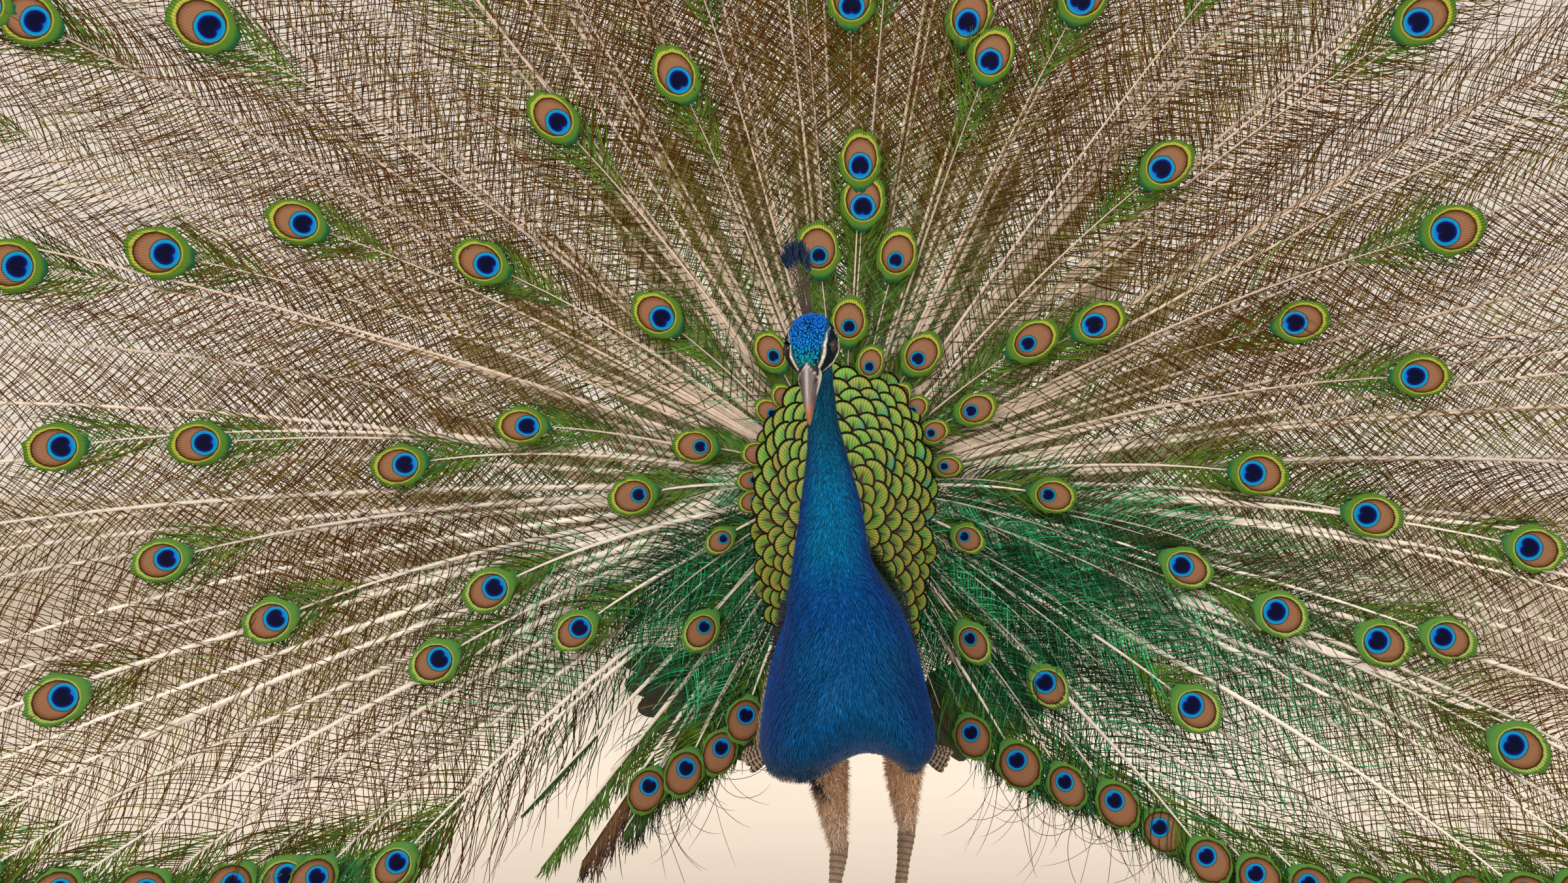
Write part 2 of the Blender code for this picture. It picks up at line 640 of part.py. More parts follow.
def make_leg(side, joints, heading, parts, cutters, neighbours):
    top, middle, hock, ankle = (Vector(point) for point in joints)
    path = [
        (top, THIGH_RADII[0]),
        (middle, THIGH_RADII[1]),
        (middle.lerp(hock, THIGH_LAST), THIGH_RADII[2]),
        (hock - (hock - middle).normalized() * THIGH_STOP, HOCK_RADIUS),
    ]
    thigh = tapered(f"thigh_{side}", path, parts, sides=THIGH_SIDES)
    painted(thigh, THIGH_BUFF, 0.8)
    path = [(hock.lerp(ankle, share), SHANK_RADIUS * width) for share, width in SHANK_PROFILE]
    shank = tapered(f"shank_{side}", path, parts, sides=SHANK_SIDES)
    painted(shank, LEG_GREY, 0.6)
    foot = make_foot(side, ankle, heading, parts, cutters)
    cut_clear(shank, [foot], cutters)
    cut_clear(thigh, list(neighbours) + [shank], cutters)
    root = hock.lerp(ankle, 1.0 - SPUR_HEIGHT)
    inwards = -1.0 if side == "left" else 1.0
    way = Vector((inwards * SPUR_WAY[0], SPUR_WAY[1], SPUR_WAY[2])).normalized()
    path = [(root, SPUR_RADII[0]), (root + way * (SPUR_LENGTH * SPUR_BEND), SPUR_RADII[1])]
    spur = tapered(f"spur_{side}", path, parts, sides=TOE_SIDES, tip=root + way * SPUR_LENGTH)
    painted(spur, HORN, 0.5)
    cut_clear(spur, [shank], cutters)
    return thigh


def stand_on_origin(parts):
    """Hangs everything from one empty, which puts the model on the floor, centred over the origin."""
    root = bpy.data.objects.new("peacock_root", None)
    parts.objects.link(root)
    bpy.context.view_layer.update()
    graph = bpy.context.evaluated_depsgraph_get()
    corners = []
    for obj in parts.objects:
        if obj.type == "MESH":
            corners += [vert.co.copy() for vert in obj.evaluated_get(graph).data.vertices]
    low = Vector([min(corner[axis] for corner in corners) for axis in range(3)])
    high = Vector([max(corner[axis] for corner in corners) for axis in range(3)])
    root.location = (-(low.x + high.x) / 2, -(low.y + high.y) / 2, -low.z)
    for obj in list(bpy.data.objects):
        if obj.type == "MESH":
            obj.parent = root
    bpy.context.view_layer.update()


def main():
    clear_scene()
    parts, cutters = make_collections()
    trunk = make_trunk(parts)
    head = make_head(parts, cutters)
    make_neck(parts, cutters, head, trunk)
    wings = {}
    for side, sign, joints, heading in (
        ("left", 1, LEG_LEFT, HEADING_LEFT), ("right", -1, LEG_RIGHT, HEADING_RIGHT),
    ):
        thigh = make_leg(side, joints, heading, parts, cutters, [trunk])
        wings[side] = make_wing(side, sign, parts, cutters, [trunk, thigh])
    make_shield(parts, cutters, [trunk, wings["left"], wings["right"]])
    make_train(parts, cutters, {side: [trunk, wing] for side, wing in wings.items()})
    make_tail(parts, cutters, [trunk])
    stand_on_origin(parts)


main()
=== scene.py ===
"""The looks of the displaying peacock: its skin, coat, train, head and legs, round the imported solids.

Sizes are in metres in the bird's own frame: it looks along -Y, its left side is +X, +Z is up and the
soles are at z = 0. The frame's solids stand a little ahead of that frame, by SHIFT.
"""

import copy
import math

import bmesh
import bpy
import numpy as np
from mathutils import Matrix, Vector
from mathutils.bvhtree import BVHTree


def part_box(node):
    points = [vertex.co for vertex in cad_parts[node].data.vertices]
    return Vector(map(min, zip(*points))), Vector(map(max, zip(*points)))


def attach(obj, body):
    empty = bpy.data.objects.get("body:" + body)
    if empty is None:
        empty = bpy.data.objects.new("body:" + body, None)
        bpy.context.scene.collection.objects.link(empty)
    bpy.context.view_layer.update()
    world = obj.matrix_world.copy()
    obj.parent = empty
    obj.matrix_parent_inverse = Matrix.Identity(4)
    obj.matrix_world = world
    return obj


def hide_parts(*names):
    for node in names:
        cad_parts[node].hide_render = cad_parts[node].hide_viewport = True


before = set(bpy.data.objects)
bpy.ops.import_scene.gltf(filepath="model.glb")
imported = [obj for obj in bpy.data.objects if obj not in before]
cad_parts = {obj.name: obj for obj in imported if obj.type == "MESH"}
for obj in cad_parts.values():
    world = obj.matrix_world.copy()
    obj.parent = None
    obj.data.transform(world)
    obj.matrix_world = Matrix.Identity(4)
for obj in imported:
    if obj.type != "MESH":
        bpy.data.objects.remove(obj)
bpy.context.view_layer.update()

BREAST_TIP_Y = -0.158  # of the trunk's foremost point, in the bird's own frame
SHIFT = np.array((0.0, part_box("trunk")[0].y - BREAST_TIP_Y, 0.0))
SIDES = (("left", 1), ("right", -1))
RNG = np.random.default_rng(7)

# Camera
CAMERA_PLACE = (-0.058, -3.30, 0.52)
CAMERA_LENS = 81.7
CAMERA_SENSOR = 36.0

# Head, whose own frame has x towards the bill, y to the bird's left and z to the crown.
HEAD_CENTRE = (-0.0335, -0.088, 0.602)
HEAD_PITCH = math.radians(57)
HEAD_YAW = math.radians(-6)
HEAD_ROLL = math.radians(9)
HEAD_WIDER = 0.15  # how much the cheeks and their down add to the width
EYE_CENTRE = (0.0, 0.0192, 0.004)
EYE_RADIUS = 0.0058
IRIS = (0.045, 0.017, 0.006)
PUPIL = (0.001, 0.001, 0.001)
EYEBALL_EDGE = (0.004, 0.003, 0.003)
LID = (0.012, 0.013, 0.016)
LID_THICKNESS = 0.0009

# Train
FAN_Y = 0.170
FAN_Z = 0.475
FAN_LEAN = 0.16
FAN_ARCH = 0.22
TRAIN_RADIUS = 1.180
TRAIN_LAYERS = 0.030  # from the front of the shortest feathers to the back of the longest
TRAIN_FRONT = -0.014
SHAFT_ROOT = 0.045  # from the fan's centre to where the shafts begin
SHAFT_STEPS = 12
SHAFT_SIDES = 5
DROOP = 4.5  # degrees that a level shaft sinks towards its tip
# Eyes that show beside and over the body: (distance from the fan's centre, directions in degrees).
EYE_RINGS = (
    (0.087, (158, 175, 188)),
    (0.100, (12, 32, 48, 59, 123, 134)),
    (0.120, (78,)),
    (0.127, (-22, 203)),
    (0.145, (31, 60, 118, 164)),
    (0.157, (88,)),
    (0.192, (-50, 225)),
    (0.200, (-2, 182)),
    (0.228, (38, 77, 96)),
    (0.243, (137,)),
    (0.275, (-44, 86)),
    (0.292, (33, 208)),
    (0.315, (87, 169)),
    (0.340, (-13,)),
    (0.355, (196,)),
    (0.402, (2, -32)),
    (0.412, (148,)),
    (0.430, (112, 177, 203)),
    (0.441, (-16, 45, 71)),
    (0.454, (128,)),
    (0.472, (20, 75, 89)),
    (0.514, (-3,)),
    (0.530, (64,)),
    (0.545, (-16,)),
    (0.570, (11, 193, 220)),
    (0.588, (154,)),
    (0.604, (-14,)),
    (0.626, (176,)),
    (0.639, (23,)),
    (0.664, (186, 215)),
    (0.672, (-5,)),
    (0.700, (-21, 161)),
    (0.721, (39,)),
    (0.762, (144, 177)),
    (0.786, (195,)),
    (0.830, (165,)),
    (0.902, (150,)),
)
# Eyes over and beside those: (distance, first direction, last direction, count).
OUTER_RINGS = (
    (0.560, 84, 106, 3),
    (0.660, 54, 128, 7),
    (0.760, 52, 133, 8),
    (0.860, 30, 137, 11),
    (0.860, -20, 18, 4),
    (0.960, -21, 202, 23),
    (1.050, -17, 197, 24),
    (1.115, -14, 194, 24),
)
# Rows of eyes along the train's lower edge, from the body outwards: corners (x, z) from the fan's
# centre, and how many eyes.
FRINGE_ROWS = (
    (((0.125, -0.240), (0.187, -0.277), (0.267, -0.307), (0.374, -0.372),
      (0.52, -0.400), (0.72, -0.392), (0.92, -0.360)), 17),
    (((-0.095, -0.222), (-0.125, -0.262), (-0.165, -0.279), (-0.190, -0.292)), 4),
    (((-0.433, -0.372), (-0.541, -0.383), (-0.72, -0.395), (-0.92, -0.360)), 7),
)
# Short green feathers without eyes, low beside the body: (distance, first and last direction, count).
GREEN_ROWS = (
    (0.125, -88, -28, 10), (0.165, -85, 0, 16), (0.200, -80, -46, 9),
    (0.235, -70, -4, 16), (0.300, -55, -6, 13), (0.380, -44, -10, 7),
    (0.150, 185, 262, 16), (0.215, 200, 256, 15), (0.280, 206, 246, 14),
)
# How the eyes grow outwards: (distance, size).
EYE_SIZES = (
    (0.0, 0.42), (0.105, 0.46), (0.13, 0.55), (0.15, 0.70),
    (0.24, 0.80), (0.60, 0.90), (0.78, 1.0), (2.0, 1.0),
)
EYE_OUTER = 0.0410  # from an eye's middle to its outer end, at size 1
EYE_INNER = 0.0330  # and to its end towards the body
EYE_HALF_WIDTH = 0.0262
EYE_DOME = 0.0030
EYE_THICKNESS = 0.0007
EYE_GRID = 9
RIM_FEATHERS = (1.150, -15, 195, 30)  # fishtails at the rim: distance, first and last direction, count
BARB_PITCH = 0.0088
BARB_WIDTH = 0.00100
BARB_LENGTH = 0.104
BARB_STEPS = 7
STRAND_JOINTS = (0, 0.2, 0.8, 1)  # shares of a strand's length at which its widths are given
STRAND_STEPS = 5
PLUME_STRANDS = 52
PLUME_STEPS = 6
FISHTAIL_STRANDS = 64
SICKLE_STRANDS = 170
FLOOR_GAP = 0.006  # the lowest that a barb hangs
FLOOR_EASE = 0.02  # the height over which a barb turns along the floor
# The frayed lower edge: (piece, strands per metre, nearest to and farthest from the line of eyes, steps,
# how much it hangs, scatter in degrees, curl, shortest, longest, width).
SKIRT_PARTS = (
    ("train_skirt", 4200, -0.044, 0.024, 5, 0.30, 13, 0.20, 0.018, 0.036, 0.0011),
    ("skirt_fringe", 2400, 0.012, 0.030, 5, 0.50, 20, 0.9, 0.010, 0.024, 0.0009),
    ("skirt_hairs", 330, 0.010, 0.036, 12, 0.95, 18, 1.7, 0.030, 0.105, 0.0007),
)
# Long one-sided feathers that hang under the train, on the bird's right: (direction, from, to, width of the
# vane, inner colour, edge colour).
SICKLES = (
    (231.5, 0.265, 0.475, 0.021, (0.075, 0.165, 0.028), (0.030, 0.070, 0.014)),
    (225.5, 0.340, 0.450, 0.006, (0.030, 0.100, 0.030), (0.020, 0.040, 0.020)),
    (235.0, 0.320, 0.446, 0.026, (0.125, 0.068, 0.032), (0.014, 0.012, 0.020)),
    (237.5, 0.270, 0.400, 0.024, (0.045, 0.105, 0.022), (0.012, 0.012, 0.022)),
)

# Colours of the train
SHAFT_CREAM = (0.61, 0.48, 0.375)
SHAFT_WHITE = (0.86, 0.78, 0.68)  # of the level and the hanging feathers
SHAFT_GREEN = (0.10, 0.13, 0.07)  # of the short feathers beside the body
BRONZE = (0.094, 0.033, 0.003)
OLIVE = (0.142, 0.098, 0.004)
EMERALD = (0.012, 0.140, 0.050)
MOSS = (0.062, 0.078, 0.007)
PLUME_LEAF = (0.110, 0.190, 0.014)
PLUME_GRASS = (0.022, 0.105, 0.016)
PLUME_BRONZE = (0.055, 0.034, 0.008)
SKIRT_EMERALD = (0.010, 0.140, 0.050)
SKIRT_LEAF = (0.110, 0.210, 0.020)
SKIRT_DARK = (0.020, 0.013, 0.010)
SKIRT_HAIR = (0.085, 0.050, 0.030)
FISHTAIL_GREEN = (0.030, 0.110, 0.022)
FISHTAIL_DARK = (0.012, 0.012, 0.006)
# Colours of an eye, from its rim to its heart
EYE_RIM = (0.060, 0.150, 0.018)
EYE_RIM_ROOT = (0.015, 0.130, 0.045)
EYE_RIM_INSIDE = (0.085, 0.185, 0.022)
EYE_RIM_OUTSIDE = (0.020, 0.060, 0.012)
EYE_RIM_LOW = (0.105, 0.270, 0.055)  # of the eyes near the floor
EYE_RING = (0.36, 0.37, 0.045)
EYE_RING_LOW = (0.28, 0.48, 0.15)
EYE_RING_EDGE = (0.045, 0.024, 0.006)
EYE_COPPER = (0.260, 0.128, 0.068)
EYE_COPPER_EDGE = (0.165, 0.068, 0.028)
EYE_DISC_EDGE = (0.055, 0.030, 0.020)
EYE_AZURE = (0.001, 0.130, 0.55)
EYE_SKY = (0.002, 0.28, 0.50)
EYE_SEA = (0.002, 0.26, 0.27)  # of the small eyes near the body
EYE_NAVY = (0.001, 0.002, 0.022)
EYE_NAVY_EDGE = (0.001, 0.008, 0.160)
EYE_BACK = (0.050, 0.042, 0.022)
# An eye's copper, its ring and the green round them: (middle, half length, half width) in centimetres.
EYE_OVALS = ((0.85, 2.32, 1.86), (0.98, 2.78, 2.20), (0.85, 3.30, 2.56))
FRINGE_OVALS = ((0.80, 2.75, 2.16), (0.80, 2.80, 2.20), (0.85, 3.40, 2.60))
FRINGE_RING = (0.085, 0.180, 0.020)
EYE_BACK_U = 9.0  # where the plain back of an eye lies on the eye's map

# Shield of back scales
SHIELD_CENTRE_Z = 0.439
SHIELD_HALF_WIDTH = 0.0835
SHIELD_HALF_HEIGHT = 0.149
SHIELD_POWER = 0.86
SHIELD_DOME = 0.058
SHIELD_RIM = 0.006
SCALE_COUNT = 225
SCALE_LENGTH = 0.0150
SCALE_WIDTH = 0.0130
SCALE_THICKNESS = 0.0005
SCALE_GRID = 7
SCALE_GOLD = (0.27, 0.25, 0.040)
SCALE_LEAF = (0.17, 0.36, 0.055)
SCALE_SEA = (0.012, 0.25, 0.20)
SCALE_HEART = (0.42, 0.95, 0.75)  # multiplies the colour at a scale's middle
SCALE_SHEEN = (1.15, 1.05, 0.9)  # and towards its edge
SCALE_STREAK = (0.075, 0.028, 0.010)
SCALE_EDGE = (0.002, 0.004, 0.001)
GOLDEN_ANGLE = math.radians(137.508)

# Bill, in the head's frame: (x, half width, culmen, cutting edge) and (x, half width, edge, keel).
BILL_UPPER = (
    (0.0200, 0.0106, 0.0122, -0.0030),
    (0.0300, 0.0106, 0.0113, -0.0038),
    (0.0400, 0.0084, 0.0082, -0.0046),
    (0.0510, 0.0061, 0.0044, -0.0058),
    (0.0610, 0.0041, -0.0002, -0.0076),
    (0.0685, 0.0024, -0.0044, -0.0100),
    (0.0735, 0.0004, -0.0108, -0.0116),
)
BILL_LOWER = (
    (0.0200, 0.0096, -0.0034, -0.0100),
    (0.0300, 0.0092, -0.0042, -0.0106),
    (0.0410, 0.0072, -0.0050, -0.0108),
    (0.0520, 0.0049, -0.0063, -0.0112),
    (0.0610, 0.0029, -0.0083, -0.0117),
    (0.0665, 0.0004, -0.0104, -0.0112),
)
BILL_ROWS = 30
BILL_SIDES = 36
NOSTRIL = (0.0350, 0.0045)  # its x and z in the head's frame
BILL_GREY = (0.100, 0.068, 0.068)
# the pale lines round the bill's base, and the painted highlight along its ridge
BILL_PALE_LINES_AND_HIGHLIGHT = (0.40, 0.34, 0.345)
BILL_TIP = (0.36, 0.105, 0.034)
# painted shade of the nostril's opening
NOSTRIL_SHADE = (0.010, 0.008, 0.008)
BILL_SEAM = (0.09, 0.07, 0.07)
BILL_DOWN = (0.003, 0.003, 0.004)
BILL_CREAM = (0.72, 0.66, 0.54)

# Crest
CREST_ROOT = (-0.0335, -0.0775, 0.622)
CREST_TOP = (-0.0465, -0.0747, 0.690)
CREST_SPREAD = (0.48, 0.88, 0.0)
CREST_SHAFTS = 22
CREST_STRANDS = 34  # of each shaft's tuft
CREST_RINGS = 9
CREST_SIDES = 6
CREST_SHAFT_COLOUR = (0.055, 0.034, 0.024)
CREST_BLUE = (0.006, 0.022, 0.105)
CREST_TEAL = (0.006, 0.08, 0.11)

# Tail proper
TAIL_CENTRE = (0.0, 0.222, 0.405)
TAIL_RADIUS = 0.460
TAIL_LEAN = 0.05
TAIL_FEATHERS = 20
# painted light: the tail's fronts are far paler than its own grey-brown (TAIL_BACK), to lift the shadow that
# the train's net casts on them
TAIL_FRONT_PAINTED_LIGHT = (0.96, 0.80, 0.69)
TAIL_BACK = (0.20, 0.155, 0.120)
VANE_WIDTH = 0.034  # of a tail or flight feather
VANE_THICKNESS = 0.0006
VANE_ROUNDING = 0.055  # how far a tip's corners stay back, as a share of the length

# Wings: the upper and lower edge of the left wing, from shoulder to wrist
WING_UPPER_EDGE = (
    (0.048, -0.030, 0.312), (0.056, 0.050, 0.318), (0.060, 0.130, 0.320), (0.068, 0.206, 0.300),
)
WING_LOWER_EDGE = (
    (0.058, -0.020, 0.266), (0.069, 0.045, 0.236), (0.073, 0.120, 0.218), (0.080, 0.206, 0.206),
)
WING_SKIN = 0.003
COVERT_ROWS = 7
COVERTS_IN_ROW = 11
COVERT_WIDTH = 0.030
COVERT_BROWN = (0.42, 0.31, 0.20)
COVERT_BAR = (0.02, 0.014, 0.010)
BELLY_SIDE_FEATHERS = 5
BELLY_SIDE_WIDTH = 0.009
BELLY_SIDE_ROOT = (0.070, -0.010, 0.232)
BELLY_SIDE_BROWN = (0.30, 0.21, 0.14)
PRIMARY_ROOT = (0.080, 0.207, 0.285)
PRIMARY_REACH = (0.150, 0.080)
PRIMARY_ANGLES = (6.0, -84.0)
PRIMARY_FEATHERS = 9
PRIMARY_LEAN = 0.90
PRIMARY_RUFOUS = (0.26, 0.095, 0.030)
PRIMARY_DARK = (0.026, 0.032, 0.016)
QUILL = (0.55, 0.47, 0.38)
RUFOUS_QUILL = (0.30, 0.16, 0.08)

# Legs: hock, ankle and heading in degrees of each
LEGS = {
    "right": ((-0.006, 0.055, 0.134), (-0.022, 0.018, 0.016), -6.0),
    "left": ((0.060, 0.120, 0.146), (0.044, 0.084, 0.016), 8.0),
}
SHANK_RADIUS = 0.0062
# Widths along the shank and along a toe: (share of the length, share of the radius).
SHANK_PROFILE = ((0.0, 1.42), (0.09, 1.28), (0.22, 0.98), (0.55, 0.92), (0.85, 1.0), (1.0, 1.18))
SHANK_SCUTE = 0.0058  # from one scute's edge to the next
TOE_SCUTE = 0.0048
TOE_HEIGHT = 0.86  # of a toe's middle, as a share of its radius
# Toes: name, direction from the middle one in degrees, length and radius.
TOES = (
    ("middle", 0.0, 0.066, 0.0054),
    ("inner", 30.0, 0.050, 0.0050),
    ("outer", -32.0, 0.054, 0.0050),
    ("hind", 176.0, 0.026, 0.0042),
)
TOE_PROFILE = (
    (0.0, 1.0), (0.20, 0.88), (0.34, 0.92), (0.48, 0.84),
    (0.62, 0.92), (0.76, 0.80), (0.88, 0.80), (1.0, 0.60),
)
CLAW_LENGTH = 0.013
# A claw's middle line: (share of its length, how far it drops).
CLAW_BEND = ((-0.22, 0.0), (0.10, -0.0004), (0.38, -0.0006), (0.66, 0.0002), (0.88, 0.0012), (1.0, 0.0018))
CLAW_WIDTHS = (0.80, 0.86, 0.68, 0.44, 0.22, 0.05)
SPUR_HEIGHT = 0.32
SPUR_LENGTH = 0.018
# A spur's outline: (share of its length, radius).
SPUR_PROFILE = ((0.0, 0.0042), (0.3, 0.0034), (0.6, 0.0023), (0.85, 0.0012), (0.98, 0.0002))
SCUTE = (0.27, 0.185, 0.125)
SCUTE_EDGE = (0.10, 0.070, 0.050)
HORN = (0.085, 0.070, 0.060)

# Skin and coat
SKIN_NODES = ("head", "neck_upper", "neck_lower", "trunk", "thigh_left", "thigh_right")
SKIN_VOXEL = 0.0026
SKIN_SWELL = 0.0012  # that the solids grow by before they are made one, so that they meet
COAT_DEPTH = 0.0022
HEAD_REACH = 0.036  # how near the neck's coat comes to the head's centre
UNWRAP_ANGLE = math.radians(66)
CROWN_BACK = -0.034  # the crown's beads lie between these, along the head's x
CROWN_FRONT = 0.0240
BEAD_SPACING = 0.00175
BEAD_RADIUS = 0.00098
BEAD_SIDES = 8
BEAD_RINGS = ((1.0, -0.45), (1.04, 0.25), (0.72, 0.80), (0.25, 1.0))  # (radius, height), in bead radii
# Marks of the face, as lines in the head's x and z with a half width.
BROW_STRIPE = (
    (-0.015, 0.0105, 0.0001), (-0.006, 0.0136, 0.0004), (0.005, 0.0125, 0.0008),
    (0.016, 0.0078, 0.0010), (0.026, 0.0030, 0.0008), (0.034, -0.001, 0.0007),
)
CHEEK_STRIPE = (
    (-0.0145, 0.0060, 0.0005), (-0.0105, -0.0015, 0.0011), (0.000, -0.0060, 0.0017),
    (0.012, -0.0048, 0.0012), (0.022, -0.0020, 0.0005),
)
EYE_BAND = ((-0.016, 0.002, 0.0085), (0.004, 0.001, 0.0115), (0.030, -0.001, 0.0085))
MASK_FRONT = (0.0215, 0.0240)  # where the crown ends and the black before the bill begins
# Colours of skin and coat
# NECK_CERULEAN and BREAST_BLUE are laid on as a painted iridescent sheen where the plumage faces the front.
NECK_ROYAL = (0.0005, 0.038, 0.230)
NECK_CERULEAN = (0.0005, 0.120, 0.270)
BREAST_BLUE = (0.0005, 0.058, 0.190)
BREAST_DEEP = (0.002, 0.032, 0.095)
THROAT_TEAL = (0.002, 0.060, 0.115)
BELLY_BROWN = (0.030, 0.023, 0.017)
RUMP_GREEN = (0.018, 0.040, 0.018)
THIGH_BUFF = (0.62, 0.40, 0.25)
SHANK_BUFF = (0.56, 0.42, 0.31)
THIGH_BLACK = (0.008, 0.007, 0.008)
FACE_BLACK = (0.001, 0.002, 0.003)
FACE_WHITE = (0.80, 0.76, 0.66)
# painted shade: the dark skin under the crown's beads, which shows as shaded gaps between them
CROWN_GAP_SHADE = (0.001, 0.008, 0.030)
BEAD_ROYAL = (0.001, 0.115, 0.56)
BEAD_SKY = (0.001, 0.22, 0.72)
BEAD_SEA = (0.001, 0.26, 0.28)

# Meshes
MOST_TRIANGLES = 190000  # in one piece of strands
ROOT_PATCH = 0.003  # the size of one strand's patch on its piece's unwrap

# Studio: place, size, power and height aimed at of each lamp
LAMPS = (
    ((-1.8, -3.2, 3.0), 2.4, 98.0, 0.6),
    ((2.4, -2.6, 2.2), 2.0, 36.0, 0.6),
    ((0.6, 2.8, 2.6), 2.4, 50.0, 0.7),
)
WORLD_COLOUR = (0.94, 0.84, 0.73, 1.0)
WORLD_STRENGTH = 0.86
FLOOR_RADIUS = 30.0
FLOOR_COLOURS = ((0.73, 0.66, 0.57), (0.79, 0.72, 0.63))


# ---------------------------------------------------------------- meshes


def piece_from(name, points, quads, material, maps, tint=None, replaced=()):
    """A piece of quads from arrays. Maps are {UV map: uv of each point}, and tint is each point's colour."""
    mesh = bpy.data.meshes.new(name)
    points = np.asarray(points, float).reshape(-1, 3) + SHIFT
    quads = np.asarray(quads, np.int32)
    mesh.vertices.add(len(points))
    mesh.vertices.foreach_set("co", points.astype(np.float32).ravel())
    mesh.loops.add(quads.size)
    mesh.loops.foreach_set("vertex_index", quads.ravel())
    mesh.polygons.add(len(quads))
    mesh.polygons.foreach_set("loop_start", np.arange(0, quads.size, quads.shape[1], dtype=np.int32))
    for title, uv in maps.items():
        layer = mesh.uv_layers.new(name=title)
        layer.data.foreach_set("uv", np.asarray(uv, np.float32).reshape(-1, 2)[quads.ravel()].ravel())
    if tint is not None:
        tint_points(mesh, tint.reshape(-1, 3))
    mesh.update(calc_edges=True)
    mesh.validate()
    mesh.materials.append(material)
    mesh.shade_smooth()
    obj = bpy.data.objects.new(name, mesh)
    bpy.context.scene.collection.objects.link(obj)
    join_bird(obj, replaced)


def join_bird(obj, replaced):
    """Makes an object a piece of the bird, and hides the solids that it replaces."""
    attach(obj, "root")
    if replaced:
        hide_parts(*replaced)


def tint_points(mesh, colours):
    values = np.ones((len(mesh.vertices), 4), np.float32)
    values[:, :3] = colours
    mesh.attributes.new("Tint", "FLOAT_COLOR", "POINT").data.foreach_set("color", values.ravel())


def unit(vectors):
    return vectors / np.maximum(np.linalg.norm(vectors, axis=-1, keepdims=True), 1e-12)


def smoothstep(low, high, value):
    """0 at low, 1 at high, smooth between. With low over high it falls."""
    share = np.clip((value - low) / (high - low), 0.0, 1.0)
    return share * share * (3.0 - 2.0 * share)


def mixed(a, b, share):
    """Colours a turned towards b, by shares with a last axis of their own."""
    a = np.asarray(a)
    return a + (np.asarray(b) - a) * share


def blend(a, b, share):
    """Colours a turned towards b, by one share for each point."""
    return mixed(a, b, share[..., None])


def moved(middles, *moves):
    """Points about each of n middles: each move is a direction (n, 3) and distances along it (n, k)."""
    points = middles[:, None, :]
    for direction, distance in moves:
        points = points + direction[:, None, :] * distance[..., None]
    return points


def ribbons(name, paths, across, widths, roots, tint, material):
    """Flat strands as joined meshes, in pieces under the limit of triangles. Paths, across and tint are
    (n, k, 3), widths (n, k), and roots the strands' places on the unwrap."""
    count, steps = paths.shape[:2]
    each = max(1, MOST_TRIANGLES // ((steps - 1) * 2))
    for part, start in enumerate(range(0, count, each)):
        chosen = slice(start, min(count, start + each))
        half = across[chosen] * (widths[chosen] / 2)[..., None]
        points = np.stack((paths[chosen] - half, paths[chosen] + half), axis=2)
        n = len(points)
        first = np.arange(n)[:, None] * (2 * steps) + np.arange(steps - 1)[None, :] * 2
        quads = np.stack((first, first + 1, first + 3, first + 2), axis=-1).reshape(-1, 4)
        uv = np.zeros((n, steps, 2, 2))
        uv[..., 0] = roots[chosen][:, None, None, 0] + np.array((-ROOT_PATCH / 2, ROOT_PATCH / 2))
        uv[..., 1] = roots[chosen][:, None, None, 1] + np.linspace(0.0, ROOT_PATCH, steps)[None, :, None]
        colour = np.repeat(tint[chosen][:, :, None, :], 2, axis=2)
        title = name if count <= each else f"{name}_{part + 1}"
        piece_from(title, points, quads, material, {"OFBake": uv}, colour)


def grid_quads(rows, columns, offset=0):
    """Quads of one grid of points, given row by row."""
    first = (np.arange(rows - 1)[:, None] * columns + np.arange(columns - 1)[None, :]).ravel() + offset
    return np.stack((first, first + 1, first + columns + 1, first + columns), axis=-1)


def plate_quads(rows, columns, count):
    """Quads of closed plates, each with a front and a back grid of points, both row by row."""
    size = rows * columns
    front = grid_quads(rows, columns)
    back = grid_quads(rows, columns, size)[:, ::-1]
    rim = list(range(columns - 1)) + [i * columns + columns - 1 for i in range(rows - 1)]
    rim += [size - 1 - j for j in range(columns - 1)] + [(rows - 1 - i) * columns for i in range(rows - 1)]
    rim = np.array(rim)
    after = np.roll(rim, -1)
    wall = np.stack((after, rim, rim + size, after + size), axis=-1)
    return copies_of(np.concatenate((front, back, wall)), count, 2 * size)


def copies_of(quads, count, size):
    """The same quads for each of a number of shapes that have as many points as size says."""
    return (quads[None] + np.arange(count)[:, None, None] * size).reshape(-1, 4)


def cells(count):
    """The corners of square cells that fill the unit square row by row, and how many stand in a row."""
    columns = math.ceil(math.sqrt(count))
    order = np.arange(count)
    return np.stack((order % columns, order // columns), axis=-1) / columns, columns


def disc_grid(n):
    """A square grid of n by n points, bent to fill the unit disc."""
    a, b = np.meshgrid(np.linspace(-1, 1, n), np.linspace(-1, 1, n), indexing="ij")
    return a * np.sqrt(1 - b * b / 2), b * np.sqrt(1 - a * a / 2)


def tube_points(path, side, deep, radii_side, radii_deep, sides):
    """Rings round paths: path, side and deep are (n, k, 3), radii (n, k). Gives (n, k, sides, 3)."""
    angles = 2 * np.pi * (np.arange(sides) + 0.5) / sides
    ring = side[..., None, :] * np.cos(angles)[:, None] * radii_side[..., None, None]
    ring = ring + deep[..., None, :] * np.sin(angles)[:, None] * radii_deep[..., None, None]
    return path[..., None, :] + ring


def tube_quads(n, k, sides):
    """Quads of n tubes, each of k rings."""
    base = np.arange(n)[:, None, None] * (k * sides) + np.arange(k - 1)[None, :, None] * sides
    i = np.arange(sides)[None, None, :]
    j = (i + 1) % sides
    quads = np.stack((base + i, base + j, base + sides + j, base + sides + i), axis=-1)
    return quads.reshape(-1, 4)


